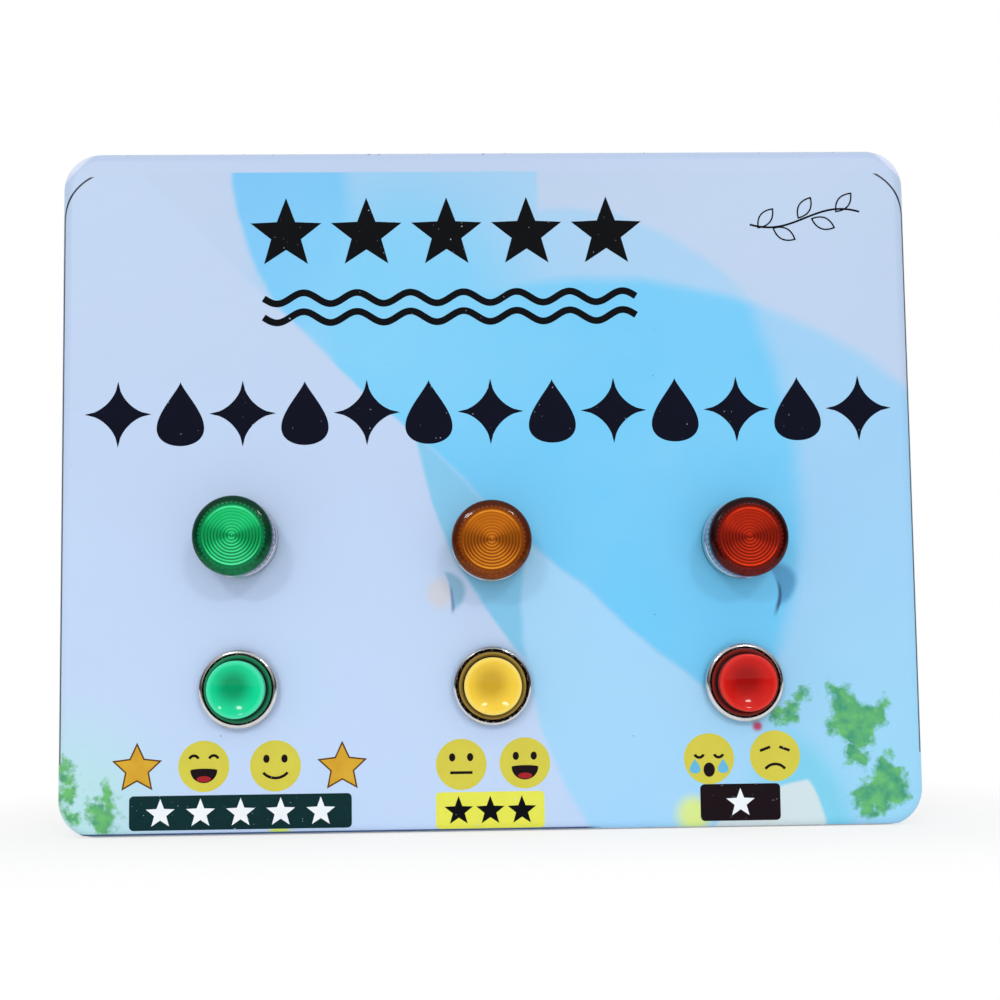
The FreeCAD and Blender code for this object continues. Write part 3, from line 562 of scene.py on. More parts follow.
def drop_rule(radius):
    """Narrow a disc towards its top, as a drop of water, and draw the tip up."""
    def rule(across, up):
        narrow = max(0, (1 - up / radius) / 2) ** 0.8
        return across * narrow * 1.25, up * 1.18
    return rule


def sparkle_rule(radius):
    """Pull a disc's rim in between four points."""
    def rule(across, up):
        share = (abs(across / radius) ** 0.62 + abs(up / radius) ** 0.62) ** (-1 / 0.62)
        return across * share, up * share
    return rule


# Band of drops and sparkles across the middle
BAND_HEIGHT = 28
DROP_RADIUS = 10.2
SPARKLE_RADIUS = 12.4
band = bmesh.new()
for step in range(13):
    x = -138 + 23.1 * step
    radius, rule = (DROP_RADIUS, drop_rule) if step % 2 else (SPARKLE_RADIUS, sparkle_rule)
    rim = add_disc(band, x, BAND_HEIGHT, radius, 64)
    shape_disc(rim, x, BAND_HEIGHT, rule(radius))
print_ink(band, "drop_band", navy_ink, 1)


def leaf_rule(length, width, lean):
    """Draw a disc out to a pointed leaf that leans by this many degrees."""
    def rule(across, up):
        share = up / length
        side = across * width / length * math.sqrt(max(0, 1 - share ** 2))
        angle = math.radians(lean)
        return (
            side * math.cos(angle) - up * math.sin(angle),
            side * math.sin(angle) + up * math.cos(angle),
        )
    return rule


def add_leaf(bm, x, z, length, width, lean):
    """A pointed leaf."""
    rim = add_disc(bm, x, z, length, 32)
    shape_disc(rim, x, z, leaf_rule(length, width, lean))


# Sprig in thin line at the upper right
stem = bmesh.new()
add_stroke(stem, 121, 101, 0.75, lambda share: (21 * share, 3.5 * math.sin(share * 2.4)), 48)
print_ink(stem, "sprig_stem", black_ink, 1)
sprig = bmesh.new()
for x, z, lean in ((106, 101, -38), (113, 95, -118), (121, 105, -32), (128, 99, -112), (136, 107, -40)):
    add_leaf(sprig, x, z, 5, 2.5, lean)
blades = sprig.faces[:]
bmesh.ops.inset_individual(sprig, faces=blades, thickness=0.55 * MM)
bmesh.ops.delete(sprig, geom=blades, context="FACES_ONLY")
print_ink(sprig, "sprig_leaves", black_ink, 2)

# Plain faces: two for each answer, with a gold star at each end of the best one
FACE_RADIUS = 9.3
LINE = 1
faces = {
    "laugh": (-105.9, -102), "smile": (-79.8, -102.2), "calm": (-11.8, -102.7),
    "grin": (11.6, -102.5), "weep": (79.6, -102), "sulk": (104.1, -101.3),
}
discs = bmesh.new()
marks = bmesh.new()
mouths = bmesh.new()
tears = bmesh.new()
for mood, (x, z) in faces.items():
    add_disc(discs, x, z, FACE_RADIUS, 72)
    for side in (-1, 1):
        if mood in ("laugh", "weep"):
            lid = arc(1.7, 70, 90 if mood == "laugh" else -90)
            add_stroke(marks, x + side * 3.6, z + 2.2, LINE, lid, 12)
        elif mood == "sulk":
            add_stroke(
                marks, x + side * 3.6, z + 2.6, LINE, lambda share: (1.9 * share, -0.7 * side * share), 4
            )
        else:
            rim = add_disc(marks, x + side * 3.3, z + 2.6, 1.15, 24)
            shape_disc(rim, x + side * 3.3, z + 2.6, lambda across, up: (across, 1.3 * up))
    if mood in ("laugh", "grin"):
        rim = add_disc(marks, x, z - 1.4, 4.9, 48)
        shape_disc(rim, x, z - 1.4, lambda across, up: (across, up * (0.12 if up > 0 else 0.95)))
        rim = add_disc(mouths, x, z - 4.6, 2.6, 32)
        shape_disc(rim, x, z - 4.6, lambda across, up: (across, 0.42 * up))
    elif mood == "smile":
        add_stroke(marks, x, z + 1.6, LINE, arc(6, 48), 24)
    elif mood == "calm":
        add_stroke(marks, x, z - 3, LINE, lambda share: (4.1 * share, 0), 4)
    elif mood == "sulk":
        add_stroke(marks, x, z - 7.6, LINE, arc(4.6, 52, 90), 24)
    else:
        rim = add_disc(marks, x, z - 4, 2.1, 32)
        shape_disc(rim, x, z - 4, lambda across, up: (across, 1.25 * up))
        for side in (-1, 1):
            rim = add_disc(tears, x + side * 5.2, z - 2.6, 2.3, 40)
            shape_disc(rim, x + side * 5.2, z - 2.6, drop_rule(2.3))
print_ink(discs, "answer_faces", yellow_ink, 1)
print_ink(marks, "answer_features", umber_ink, 2)
print_ink(mouths, "answer_tongues", red_ink, 3)
print_ink(tears, "answer_tears", tear_ink, 2)
for name, ink, size, layer in (("star_borders", brown_ink, 9.6, 1), ("star_fills", gold_ink, 8.3, 2)):
    ends = bmesh.new()
    for x, z in ((-130.2, -102.6), (-55.4, -103)):
        add_star(ends, x, z, size, 0.48)
    print_ink(ends, name, ink, layer)


def add_badge(bm, x, z, width, height):
    """A rectangle with small round corners."""
    stretched = on_face(x, z) @ Matrix.Diagonal((width * MM / 2, height * MM / 2, 1, 1))
    grid = bmesh.ops.create_grid(bm, x_segments=1, y_segments=1, size=1, matrix=stretched)
    bmesh.ops.bevel(
        bm, geom=grid["verts"], offset=1.6 * MM, segments=5, profile=0.5, affect="VERTICES", material=-1
    )


# Badges with five, three and one star
badges = (
    ("best", -92.5, -118.7, 81, 12.5, 5, 14.6, forest_ink, white_ink),
    ("middle", -1.3, -119.4, 39.8, 13.3, 3, 11.6, lemon_ink, black_ink),
    ("worst", 90.9, -118, 29.6, 13.4, 1, 0, umber_ink, white_ink),
)
for name, x, z, width, height, count, pitch, ground, ink in badges:
    plate = bmesh.new()
    add_badge(plate, x, z, width, height)
    print_ink(plate, f"{name}_badge", ground, 1)
    row = bmesh.new()
    for step in range(count):
        add_star(row, x + (step - (count - 1) / 2) * pitch, z - 0.3, 5.5)
    print_ink(row, f"{name}_badge_stars", ink, 2)


# Gaskets and panel nuts
# A flat rubber washer lies under every head, and a hexagonal nut of black glass-filled nylon
# clamps each barrel from inside the cover.

black_nylon = moulded_plastic("black_nylon", "202124", "2b2c30", 0.5, 0.35)
paint(black_rubber, "panel_gaskets")
paint(black_nylon, "panel_nuts")


# Lamp sleeves
# Moulded ring with a bright chrome plating: a smooth foot, and a grip with two rows of dimples.

def axis_of(node):
    """Where a turned piece's axis meets the face of the film."""
    low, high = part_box(node)
    return Vector(((low.x + high.x) / 2, FACE, (low.z + high.z) / 2))


def turned(centre, profile, steps=96, closed=True):
    """Spin corners, given as radius and depth in mm, round a lamp's or button's axis."""
    bm = bmesh.new()
    corners = [bm.verts.new((radius * MM, depth * MM, 0)) for radius, depth in profile]
    following = corners[1:] + corners[:1] if closed else corners[1:]
    for start, end in zip(corners, following):
        bm.edges.new((start, end))
    bmesh.ops.spin(
        bm, geom=bm.verts[:] + bm.edges[:], cent=(0, 0, 0), axis=(0, 1, 0), angle=2 * math.pi,
        steps=steps, use_merge=True,
    )
    bmesh.ops.remove_doubles(bm, verts=bm.verts, dist=0.001 * MM)
    bmesh.ops.recalc_face_normals(bm, faces=bm.faces)
    bmesh.ops.translate(bm, verts=bm.verts, vec=centre)
    return bm


def round_ring(bm, centre, radius, depth, amount, segments=5):
    """Round the circular edge that lies at a radius and depth in mm."""
    def on_ring(vert):
        away = vert.co - centre
        return (
            abs(math.hypot(away.x, away.z) - radius * MM) < 0.01 * MM
            and abs(away.y - depth * MM) < 0.01 * MM
        )
    ring = [edge for edge in bm.edges if all(on_ring(vert) for vert in edge.verts)]
    bmesh.ops.bevel(
        bm, geom=ring, offset=amount * MM, segments=segments, profile=0.5, affect="EDGES", material=-1
    )


def wall_faces(bm, centre, radius, front, back):
    """The faces of one straight or conical wall, in order round the axis."""
    found = []
    for face in bm.faces:
        away = face.calc_center_median() - centre
        if abs(math.hypot(away.x, away.z) - radius * MM) < 0.06 * MM and front * MM < away.y < back * MM:
            found.append((math.atan2(away.z, away.x), face))
    return [face for angle, face in sorted(found, key=lambda pair: pair[0])]


def round_piece(bm, *details):
    """Make a smoothly shaded piece, sharp where faces meet at more than 32 degrees."""
    for face in bm.faces:
        face.smooth = True
    for edge in bm.edges:
        edge.smooth = edge.calc_face_angle(0) < math.radians(32)
    return make_piece(bm, *details)


def from_axis(add, place, centre):
    """The place seen from a turned piece's centre, and its distance from the axis, in millimetres."""
    local = add("Mapping", {"Vector": place, "Location": -centre / MM})
    flat = add("VectorMath", {0: local, 1: (1, 0, 1)}, operation="MULTIPLY")
    return local, add("VectorMath", {0: flat}, operation="LENGTH")


def chrome_plating(name, centre, shade_ring_radius, shade_ring_reach, foot_shade_depth, grip):
    """Chrome on a moulding: hazy mirror, painted shade speckled in a groove and on the foot, and satin in
    front of a depth.
    """
    material, add, shader, place = new_finish(name, Metallic=1)
    local, radius = from_axis(add, place, centre)
    depth = add("SeparateXYZ", {0: local}).outputs["Y"]
    satin = add("MapRange", {0: depth, 1: grip, 2: grip - 0.2})
    haze = add("TexNoise", {"Vector": place, "Scale": 1 / 3, "Detail": 4})
    rough = add("MapRange", {0: haze, 1: 0.35, 2: 0.7, 3: 0.07, 4: 0.24})
    rougher = add("Math", {0: satin, 1: 0.3, 2: rough}, operation="MULTIPLY_ADD")
    # Painted shade: a speckled near-black ring at one radius, over a bezel's knurled groove and a sleeve's
    # dimples
    offset = add("Math", {0: radius, 1: shade_ring_radius}, operation="SUBTRACT")
    away = add("Math", {0: offset}, operation="ABSOLUTE")
    groove = add("MapRange", {0: away, 1: shade_ring_reach, 2: 0.7 * shade_ring_reach})
    grit = add("TexNoise", {"Vector": place, "Scale": 1 / 0.5, "Detail": 4})
    speckle_mask = add("MapRange", {0: grit, 1: 0.64, 2: 0.58})
    speckled = add("Math", {0: groove, 1: speckle_mask}, operation="MULTIPLY")
    # Painted shadow on the foot, near the film; with the ring it makes the near-black share below
    foot = add("MapRange", {0: depth, 1: foot_shade_depth - 0.3, 2: foot_shade_depth})
    dirt = add("Math", {0: speckled, 1: foot}, operation="MAXIMUM")
    # The satin grip is duller and less metallic, and tinted lavender grey: the tint is a painted reflection
    # of the print round it
    tint = linear("e4e3e6")
    for share, tone in ((haze, "c9c6c8"), (satin, "b3aec8"), (dirt, "0f0d0c")):
        tint = add("Mix", {0: share, 6: tint, 7: linear(tone)}, data_type="RGBA")
    plated = add("MapRange", {0: satin, 3: 1, 4: 0.45})
    feed(shader, {"Base Color": tint, "Roughness": rougher, "Metallic": plated})
    return material


# Radii in mm, and depths in mm in front of the film, which are below zero
LAMP_COLOURS = ("green", "amber", "red")
BARREL_RADIUS = 11.2
HEAD_RADIUS = 14.5
GRIP_RADIUS = 14.3
SLEEVE_BORE = 13.3
SEAT = -1
GRIP_BACK = -9.2
LENS_BACK = -17.5
DIMPLE_ROWS = ((-11.9, -10.3), (-15.7, -14.1))

for colour in LAMP_COLOURS:
    centre = axis_of(f"{colour}_lamp_sleeve")
    grip_steps = [(GRIP_RADIUS, depth) for front, back in DIMPLE_ROWS for depth in (back, front)]
    sleeve = turned(
        centre,
        [
            (BARREL_RADIUS, SEAT), (HEAD_RADIUS, SEAT), (HEAD_RADIUS, GRIP_BACK + 0.2),
            (GRIP_RADIUS, GRIP_BACK), *grip_steps, (GRIP_RADIUS, LENS_BACK), (SLEEVE_BORE, LENS_BACK),
            (SLEEVE_BORE, SEAT - 1), (BARREL_RADIUS, SEAT - 1),
        ],
    )
    for front, back in DIMPLE_ROWS:
        grip = wall_faces(sleeve, centre, GRIP_RADIUS, front, back)
        bmesh.ops.inset_individual(sleeve, faces=grip[::2], thickness=0.1 * MM, depth=-0.14 * MM)
    # On a sleeve the speckled painted shade falls in the dimples, and the painted shadow covers the foot to
    # 3.4 mm from the film
    plating = chrome_plating(
        f"chrome_plating_{colour}_sleeve", centre, shade_ring_radius=14.12, shade_ring_reach=0.14, foot_shade_depth=-3.4,
        grip=GRIP_BACK,
    )
    round_piece(sleeve, f"{colour}_sleeve", plating, "box", "chrome_plating", f"{colour}_lamp_sleeve")


# Lamp lenses
# Acrylic moulded in the lamp's colour, with a thick rounded shoulder that looks almost black.
# Rings and a row of teeth inside it send light back in bright lines of the same colour: these lines, the
# shade of the grooves beside them and the lit lower side of the shoulder are painted into its colour.

RIB_PITCH = 1.15
RIBS = 9
RIB_FOOT = -21.6

# Corners of the shoulder: radius, depth, how far each is rounded, and in how many steps
SHOULDER = ((13.3, -21.57, 0.5, 5), (14.2, -20.6, 0.6, 6), (HEAD_RADIUS, -19.3, 0.6, 4))

# Tones of the shoulder, its painted lit low side, the painted shade of the grooves, the ribs, and the
# painted light they send back
lens_tones = {
    "green": ("00351f", "037344", "02582f", "0cc26c", "5cffae"),
    "amber": ("4c1b00", "823c04", "662c00", "bc640a", "f99e2a"),
    "red": ("230203", "660c04", "4c0702", "aa2006", "f8400f"),
}


def moulded_acrylic(name, centre, shoulder, low, painted_groove_shade, middle, glow):
    """Tinted acrylic: a dark glossy shoulder, teeth, and rings with painted highlights and shade in the
    lens's colour.
    """
    material, add, shader, place = new_finish(
        name, IOR=1.49, Roughness=0.22, Specular_IOR_Level=0.06, Coat_Weight=0.22, Coat_Roughness=0.03
    )
    local, radius = from_axis(add, place, centre)
    parts = add("SeparateXYZ", {0: local}).outputs
    across, up = parts["X"], parts["Z"]

    # Painted light: every ring is painted brighter above and below the axis and darker to its sides, as it
    # sends the light back.
    bearing = add("Math", {0: up, 1: across}, operation="ARCTAN2")
    double = add("Math", {0: bearing, 1: 2}, operation="MULTIPLY")
    sideways = add("Math", {0: double}, operation="COSINE")
    patches = add("TexNoise", {"Vector": local, "Scale": 1 / 5, "Detail": 2})
    uneven = add("Math", {0: patches, 1: 2.4, 2: sideways}, operation="MULTIPLY_ADD")
    painted_ring_light = add("MapRange", {0: uneven, 1: 2, 2: 0.2})

    # Painted highlights and shade: thin bright lines with dark grooves beside them, crisp low down and soft
    # towards the top.
    turns = add("Math", {0: radius, 1: 2 * math.pi / RIB_PITCH}, operation="MULTIPLY")
    wave = add("Math", {0: turns}, operation="COSINE")
    crisp = add("MapRange", {0: up, 1: 6, 2: -4, 3: 0.12, 4: 1})
    groove = add("MapRange", {0: wave, 1: 0.1, 2: -0.9})
    dark = add("Math", {0: groove, 1: crisp}, operation="MULTIPLY")
    peak = add("MapRange", {0: wave, 1: 0.6, 2: 1, 3: 0.15, 4: 1})
    lit_share = add("Math", {0: peak, 1: painted_ring_light}, operation="MULTIPLY")
    strength = add("MapRange", {0: up, 1: 7, 2: -3, 3: 0.32, 4: 0.85})
    lit_part = add("Math", {0: lit_share, 1: strength}, operation="MULTIPLY")

    # A painted bright ring round the ribs, then a dim band with forty-six small teeth.
    brim = add("Math", {0: radius, 1: RIB_PITCH * RIBS}, operation="SUBTRACT")
    near_brim = add("Math", {0: brim}, operation="ABSOLUTE")
    bright = add("MapRange", {0: near_brim, 1: 0.5, 2: 0.1})
    rim_light = add("Math", {0: bright, 1: painted_ring_light}, operation="MULTIPLY")
    band = add("MapRange", {0: radius, 1: 10.5, 2: 11.2, 3: 0, 4: 0.9})
    count = add("Math", {0: bearing, 1: 46}, operation="MULTIPLY")
    tooth = add("Math", {0: count}, operation="COSINE")
    gap = add("MapRange", {0: tooth, 1: 0.2, 2: 1, 3: 12.2, 4: 11.6})
    past = add("Math", {0: radius, 1: gap}, operation="SUBTRACT")
    outside = add("MapRange", {0: past, 1: -0.3, 2: 0.1})

    # The lower side of the shoulder is painted lighter in patches, for light that falls in at the top and
    # comes out there.
    mottle = add("TexNoise", {"Vector": local, "Scale": 1 / 2, "Detail": 3, "Distortion": 0.6})
    drift = add("Math", {0: mottle, 1: -24, 2: up}, operation="MULTIPLY_ADD")
    painted_low_light = add("MapRange", {0: drift, 1: -15, 2: -28, 3: 0, 4: 1})
    rim = add("Mix", {0: painted_low_light, 6: linear(shoulder), 7: linear(low)}, data_type="RGBA")

    # The tones from the middle outwards, and mirror-like rings that fade out under the shoulder.
    tint = linear(middle)
    for share, tone in (
        (dark, linear(painted_groove_shade)), (lit_part, linear(glow)), (rim_light, linear(glow)),
        (band, linear(low)), (outside, rim),
    ):
        tint = add("Mix", {0: share, 6: tint, 7: tone}, data_type="RGBA")
    shine = add("MapRange", {0: radius, 1: 12, 2: 10.4, 3: 0, 4: 0.5})

    # The outer face is smooth in front of the ribs, so the clear gloss ignores them.
    geometry = add("NewGeometry")
    over_ribs = add("MapRange", {0: radius, 1: 11.7, 2: 11.5})
    facing = add(
        "Mix", {0: over_ribs, 4: geometry.outputs["Normal"], 5: (0, -1, 0)}, data_type="VECTOR"
    )
    feed(shader, {"Base Color": tint, "Metallic": shine, "Coat Normal": facing})
    return material


for colour in LAMP_COLOURS:
    centre = axis_of(f"{colour}_lamp_lens")
    ribs = [(0, -21.75)]
    for rib in range(RIBS):
        ribs += [(RIB_PITCH * (rib + 0.5), RIB_FOOT), (RIB_PITCH * (rib + 1), RIB_FOOT - 0.24)]
    lens = turned(
        centre,
        ribs + [
            (10.7, RIB_FOOT), (11.5, RIB_FOOT), (11.7, -21.9), *(corner[:2] for corner in SHOULDER),
            (HEAD_RADIUS, LENS_BACK), (13.1, LENS_BACK), (13.1, -9.5), (BARREL_RADIUS, -9.5),
            (BARREL_RADIUS, -19.7), (0, -19.7),
        ],
        steps=120,
        closed=False,
    )
    for corner in SHOULDER:
        round_ring(lens, centre, *corner)
    acrylic = moulded_acrylic(f"moulded_acrylic_{colour}", centre, *lens_tones[colour])
    round_piece(lens, f"{colour}_lens", acrylic, "box", f"lens_{colour}", f"{colour}_lamp_lens")


# Lamp bodies, lights and terminals
# A black nylon barrel carries a round white board of light-emitting diodes, and two brass blades
# come out of its end.

def light_board(name):
    """White board with milky epoxy domes in front of it."""
    material, add, shader, place = new_finish(name, Roughness=0.3, IOR=1.52, Coat_Weight=0.4)
    depth = add("SeparateXYZ", {0: place})
    dome = add("MapRange", {0: depth.outputs["Y"], 1: FACE / MM - 1.6, 2: FACE / MM - 1.7})
    cloud = add("TexNoise", {"Vector": place, "Scale": 1 / 1.5, "Detail": 2})
    epoxy = add("Mix", {0: cloud, 6: linear("f2efe2"), 7: linear("d9dccf")}, data_type="RGBA")
    tint = add("Mix", {0: dome, 6: linear("eeeeec"), 7: epoxy}, data_type="RGBA")
    feed(shader, {"Base Color": tint})
    return material


moulded_epoxy_lights = light_board("moulded_epoxy_lights")
stamped_brass = plated_metal("stamped_brass", "d2a95a", "a9803a", 0.26, 3, (0.3, 4, 4))
for colour in LAMP_COLOURS:
    paint(black_nylon, f"{colour}_lamp_body")
    paint(moulded_epoxy_lights, f"{colour}_lamp_light")
    paint(stamped_brass, f"{colour}_lamp_terminals")


# Button bezels
# Chrome-plated ring with a rounded crown, and a knurled groove inside it with speckled painted shade.

BUTTON_COLOURS = ("green", "yellow", "red")
BEZEL_FRONT = -4.8
KNURL_BACK = -4.1
KNURL_RADIUS = 12.75
CROWN_BORE = 13
CROWN_ROUND = 1.35

# Radius and half width of each bezel's ring of painted shade
shade_rings = {"green": (12.75, 0.35), "yellow": (12.95, 0.7), "red": (12.75, 0.4)}
for colour in BUTTON_COLOURS:
    centre = axis_of(f"{colour}_button_bezel")
    bezel = turned(
        centre,
        [
            (BARREL_RADIUS, SEAT), (14.1, SEAT), (HEAD_RADIUS, SEAT - 0.5), (HEAD_RADIUS, BEZEL_FRONT),
            (CROWN_BORE, BEZEL_FRONT), (KNURL_RADIUS, KNURL_BACK), (12.5, KNURL_BACK), (12.5, SEAT - 1),
            (BARREL_RADIUS, SEAT - 1),
        ],
        steps=144,
    )
    round_ring(bezel, centre, HEAD_RADIUS, BEZEL_FRONT, CROWN_ROUND, 8)
    round_ring(bezel, centre, CROWN_BORE, BEZEL_FRONT, 0.12, 2)
    knurl = wall_faces(bezel, centre, (CROWN_BORE + KNURL_RADIUS) / 2, BEZEL_FRONT, KNURL_BACK)
    bmesh.ops.inset_individual(bezel, faces=knurl[::2], thickness=0.05 * MM, depth=-0.12 * MM)
    # On a bezel the painted shadow covers the foot to 1.5 mm from the film
    # No part of a bezel reaches the depth at which the satin grip of a sleeve would start
    plating = chrome_plating(
        f"chrome_plating_{colour}_bezel", centre, *shade_rings[colour], foot_shade_depth=-1.5, grip=-6
    )
    round_piece(bezel, f"{colour}_bezel", plating, "box", "chrome_plating", f"{colour}_button_bezel")


# Button guides and caps
# Moulded acetal in three colours: a collar fixed in the bezel, and a glossy cap with a dished top
# that slides in it. Fingers have polished the caps and left hair scratches on the collars.

def moulded_acetal(name, centre, colour, shade, edge, roughness, scratches, spot, reach):
    """Acetal moulding: glossy and waxy, with scratches, a painted highlight at its rim, and painted shade
    round one spot.
    """
    material, add, shader, place = new_finish(
        name, IOR=1.48, Roughness=roughness, Specular_IOR_Level=0.04, Subsurface_Weight=0.12,
        Subsurface_Scale=1 * MM, Coat_Weight=0.28, Coat_Roughness=0.03,
    )
    local, radius = from_axis(add, place, centre)
    flow = add("TexNoise", {"Vector": local, "Scale": 1 / 5, "Detail": 3})
    # Painted shade round one spot, together with faint random clouds of the darker tone
    away = add("VectorMath", {0: local, 1: spot}, operation="DISTANCE")
    painted_shade = add("MapRange", {0: away, 1: reach[0], 2: reach[1]}, interpolation_type="SMOOTHSTEP")
    cloudy = add("Math", {0: flow, 1: 0.15}, operation="MULTIPLY")
    darker = add("Math", {0: painted_shade, 1: cloudy}, operation="ADD", use_clamp=True)
    tint = add("Mix", {0: darker, 6: linear(colour), 7: linear(shade)}, data_type="RGBA")
    # Painted highlight: the rim is painted paler
    rim = add("MapRange", {0: radius, 1: 8.6, 2: 10.2, 3: 0, 4: 0.5})
    paler = add("Mix", {0: rim, 6: tint, 7: linear(edge)}, data_type="RGBA")
    hairs = add("TexNoise", {"Vector": local, "Scale": 1 / 0.5, "Detail": 4, "Distortion": 1.5})
    relief = add("Bump", {"Height": hairs, "Strength": scratches, "Distance": 0.03 * MM})
    feed(shader, {"Base Color": paler, "Normal": relief})
    return material


# Colour, painted shade in the dish, and painted highlight on the rim, of each cap
cap_tones = {
    "green": ("14dc9c", "009a64", "6ff2c8"), "yellow": ("fad346", "d0a62e", "ffea8e"),
    "red": ("d41c15", "a00c0a", "f2463c"),
}
# Colour, painted shadow at the inner edge, and the colour again so that the rim stays plain, of each guide
guide_tones = {
    "green": ("2c8c64", "0b2417", "2c8c64"), "yellow": ("ac8c40", "241c0c", "ac8c40"),
    "red": ("8a2a24", "240a09", "8a2a24"),
}

# Roughness, depth of scratches, and the centre of the painted shade with its outer and inner reach: a
# painted shadow along the guide's inner edge, and painted shade a little above the middle of the cap's dish
guide_wear_and_shade = (0.34, 0.6, (0, -4.9, 0), (11.8, 11.2))
cap_wear_and_shade = (0.26, 0.1, (-0.8, -11, 1), (9.4, 1.5))
GUIDE_RADIUS = 12.3
GUIDE_BORE = 10.8
GUIDE_FRONT = -5
CAP_RADIUS = 10.45
CAP_FRONT = -12.25
CAP_SKIRT = 5
CAP_WALL = 1
DISH_RADIUS = 9.25
DISH = 1.6
DISH_STEPS = 12

# Radius of the sphere that the dish is a part of
dish_sphere = (DISH_RADIUS ** 2 + DISH ** 2) / (2 * DISH)

for colour in BUTTON_COLOURS:
    centre = axis_of(f"{colour}_button_guide")
    guide = turned(
        centre,
        [(GUIDE_BORE, -3), (GUIDE_RADIUS, -3), (GUIDE_RADIUS, GUIDE_FRONT), (GUIDE_BORE, BEZEL_FRONT)],
        steps=120,
    )
    round_ring(guide, centre, GUIDE_RADIUS, GUIDE_FRONT, 0.25, 3)
    round_ring(guide, centre, GUIDE_BORE, BEZEL_FRONT, 0.2, 3)
    collar = moulded_acetal(f"moulded_acetal_{colour}_guide", centre, *guide_tones[colour], *guide_wear_and_shade)
    round_piece(guide, f"{colour}_guide", collar, "box", f"guide_{colour}", f"{colour}_button_guide")

    dish = []
    for step in range(DISH_STEPS + 1):
        radius = DISH_RADIUS * step / DISH_STEPS
        dish.append((radius, CAP_FRONT + DISH - dish_sphere + math.sqrt(dish_sphere ** 2 - radius ** 2)))
    inner = CAP_RADIUS - CAP_WALL
    back = CAP_FRONT + CAP_SKIRT
    cap = turned(
        centre,
        dish + [(CAP_RADIUS, CAP_FRONT), (CAP_RADIUS, back), (inner, back), (inner, -10), (0, -10)],
        steps=120,
        closed=False,
    )
    round_ring(cap, centre, CAP_RADIUS, CAP_FRONT, 0.7, 6)
    moulded = moulded_acetal(f"moulded_acetal_{colour}_cap", centre, *cap_tones[colour], *cap_wear_and_shade)
    round_piece(cap, f"{colour}_cap", moulded, f"{colour}_press", f"cap_{colour}", f"{colour}_button_cap")


# Button bodies, plungers, springs and switches
# The barrel and plunger are black nylon, the return spring is wound from drawn steel wire, and the
# grey switch block holds brass contacts that the bridge on the plunger's rod presses together.

WIRE = 1
COIL_RADIUS = 5.2
COIL_PITCH = 3
STEPS_PER_TURN = 24


def spring_coil(centre, front, back):
    """A helix of round wire between two depths in metres, closed at both ends."""
    bm = bmesh.new()
    start = Matrix.Translation((centre.x + COIL_RADIUS * MM, front + WIRE * MM / 2, centre.z))
    bmesh.ops.create_circle(bm, segments=10, radius=WIRE * MM / 2, matrix=start)
    climb = back - front - WIRE * MM
    turns = climb / (COIL_PITCH * MM)
    steps = round(turns * STEPS_PER_TURN)
    bmesh.ops.spin(
        bm, geom=bm.verts[:] + bm.edges[:], cent=centre, axis=(0, 1, 0), angle=2 * math.pi * turns,
        steps=steps, dvec=(0, climb / steps, 0), use_merge=False,
    )
    ends = [edge for edge in bm.edges if edge.is_boundary]
    bmesh.ops.edgeloop_fill(bm, edges=ends)
    bmesh.ops.recalc_face_normals(bm, faces=bm.faces)
    return bm


drawn_spring_steel = plated_metal("drawn_spring_steel", "b7b9bc", "85888d", 0.3, 2, (6, 6, 6))
grey_nylon = moulded_plastic("grey_nylon", "7c8288", "6d7379", 0.45, 0.4)
for colour in BUTTON_COLOURS:
    paint(black_nylon, f"{colour}_button_body", f"{colour}_button_plunger")
    paint(grey_nylon, f"{colour}_button_switch")
    paint(stamped_brass, f"{colour}_button_bridge", f"{colour}_button_contacts")

    low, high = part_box(f"{colour}_button_spring")
    centre = axis_of(f"{colour}_button_body")
    spring = round_piece(
        spring_coil(centre, low.y, high.y), f"{colour}_spring", drawn_spring_steel, "box", "spring_steel",
        f"{colour}_button_spring",
    )
    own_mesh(spring)


# Wires
# Stranded copper in extruded vinyl, two from each lamp and button to the board.

def extruded_vinyl(name, colour, shade):
    """Wire covering: waxy gloss, with slow changes of tone and shallow ripples along the run."""
    return plain_skin(name, (colour, shade), 0.36, 1.53, (12, 2), (1.6, 1), (0.3, 0.05))


paint(extruded_vinyl("extruded_vinyl_red", "b3231f", "8f1b1a"), "lamp_wires")
paint(extruded_vinyl("extruded_vinyl_blue", "1f4f9c", "183f80"), "button_wires")


# Studio
# A pale floor that runs out to white, a wide soft panel in front of the box with a small brighter
# lamp in each half of it, and an even sky.

def aimed_lamp(name, place, size, power):
    """A rectangular lamp that points at the middle of the front."""
    light = bpy.data.lights.new(name, "AREA")
    light.shape = "RECTANGLE"
    light.size, light.size_y = size
    light.energy = power
    lamp = bpy.data.objects.new(name, light)
    lamp.location = place
    lamp.rotation_euler = (Vector((0, FACE, 0)) - Vector(place)).to_track_quat("-Z", "Y").to_euler()
    bpy.context.scene.collection.objects.link(lamp)


aimed_lamp("soft_panel", (0, -2, 0.8), (2.6, 1.8), 5.2)
aimed_lamp("left_lamp", (-0.6, -1.99, 0.8), (0.27, 0.14), 4.6)
aimed_lamp("right_lamp", (0.52, -1.99, 0.8), (0.27, 0.14), 4.6)

FLOOR_REACH = 6
FLOOR_FRONT = -0.48
sweep = bmesh.new()
floor_place = Matrix.Translation((0, FLOOR_FRONT + FLOOR_REACH, cad_box[0].z))
bmesh.ops.create_grid(sweep, x_segments=1, y_segments=1, size=FLOOR_REACH, matrix=floor_place)
floor_mesh = bpy.data.meshes.new("floor")
sweep.to_mesh(floor_mesh)
sweep.free()
floor = bpy.data.objects.new("floor", floor_mesh)
bpy.context.scene.collection.objects.link(floor)

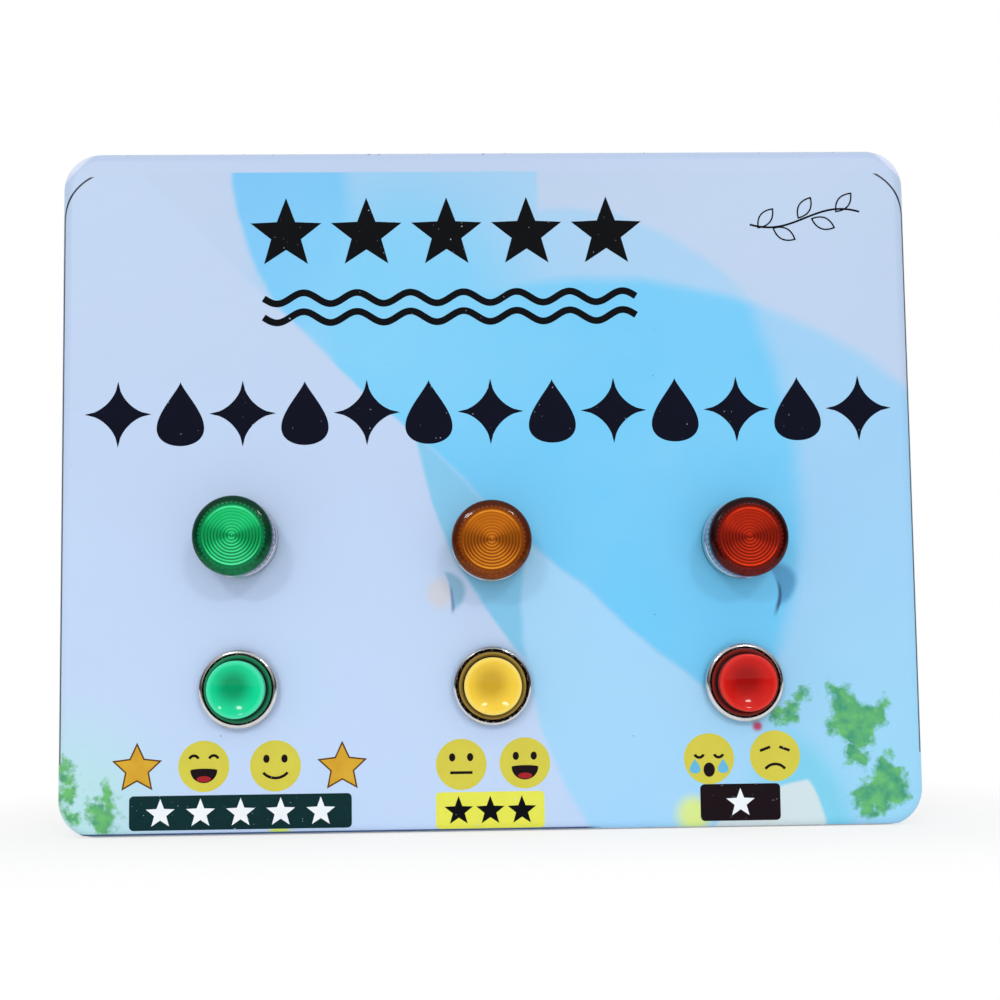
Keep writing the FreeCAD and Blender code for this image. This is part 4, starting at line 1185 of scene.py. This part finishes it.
# Matt white paper: it takes the box's shadow close by, and runs out to pure white 0.2 m away
matt_paper, add, shader, place = new_finish("matt_paper", Roughness=0.9, Specular_IOR_Level=0)
shader.inputs["Base Color"].default_value = linear("f8f8f8")
centred = add("VectorMath", {0: place, 1: (0, 40, 0)}, operation="ADD")
mirrored = add("VectorMath", {0: centred}, operation="ABSOLUTE")
past = add("VectorMath", {0: mirrored, 1: (140, 20, 0)}, operation="SUBTRACT")
outside = add("VectorMath", {0: past, 1: (0, 0, 0)}, operation="MAXIMUM")
away = add("VectorMath", {0: outside}, operation="LENGTH")
fade = add("MapRange", {0: away, 1: 15, 2: 200, 3: 0.1, 4: 1}, interpolation_type="SMOOTHSTEP")
rays = add("LightPath")
seen = add(
    "Math", {0: rays.outputs["Is Camera Ray"], 1: rays.outputs["Is Glossy Ray"]}, operation="ADD"
)
seen_through = add(
    "Math", {0: seen, 1: rays.outputs["Is Transmission Ray"]}, operation="ADD", use_clamp=True
)
share = add("Math", {0: seen_through, 1: fade}, operation="MULTIPLY")
white = add("Emission", {"Color": (1, 1, 1, 1), "Strength": 1})
mixed = add("MixShader", {0: share, 1: shader, 2: white})
feed(matt_paper.node_tree.nodes["Material Output"], {"Surface": mixed})
floor_mesh.materials.append(matt_paper)

# Rays that miss the box end in pure white. Gloss shows a room, dark level with the box and pale above
# and below it, and that same white where it looks on past the box.
world = bpy.data.worlds.new("studio")
bpy.context.scene.world = world
world.use_nodes = True
world.node_tree.nodes.clear()
add = adder(world.node_tree)
rays = add("LightPath")
seen = add(
    "Math", {0: rays.outputs["Is Camera Ray"], 1: rays.outputs["Is Transmission Ray"]},
    operation="ADD", use_clamp=True,
)
sky = add("Background", {"Color": (1, 1, 1, 1), "Strength": 0.77})
backdrop = add("Background", {"Color": (1, 1, 1, 1), "Strength": 1})
direction = add("SeparateXYZ", {0: add("TexCoord").outputs["Generated"]})
height = add("Math", {0: direction.outputs["Z"]}, operation="ABSOLUTE")
pale = add("MapRange", {0: height, 1: 0.1, 2: 0.65}, interpolation_type="SMOOTHSTEP")
wall = add("Mix", {0: pale, 6: linear("51463c"), 7: linear("c0c3c8")}, data_type="RGBA")
room = add("Background", {"Color": wall, "Strength": 1})
behind = add("MapRange", {0: direction.outputs["Y"], 1: -0.05, 2: 0.15})
mirrored = add("Math", {0: behind, 1: rays.outputs["Is Glossy Ray"]}, operation="MULTIPLY")
shown = add("Math", {0: seen, 1: mirrored}, operation="MAXIMUM")
ambient = add("MixShader", {0: rays.outputs["Is Glossy Ray"], 1: sky, 2: room})
blended = add("MixShader", {0: shown, 1: ambient, 2: backdrop})
add("OutputWorld", {"Surface": blended})

# The camera stands 0.6 m in front of the film, a little to the left and low, and looks slightly up
camera_data = bpy.data.cameras.new("camera")
camera_data.lens = 57.96
camera_data.sensor_width = 36
camera = bpy.data.objects.new("camera", camera_data)
camera.location = (-0.01357, -0.67774, -0.05613)
camera.rotation_euler = [math.radians(angle) for angle in (94.851, 0.745, -1.593)]
bpy.context.scene.collection.objects.link(camera)
bpy.context.scene.camera = camera
bpy.context.scene.view_settings.view_transform = "Standard"
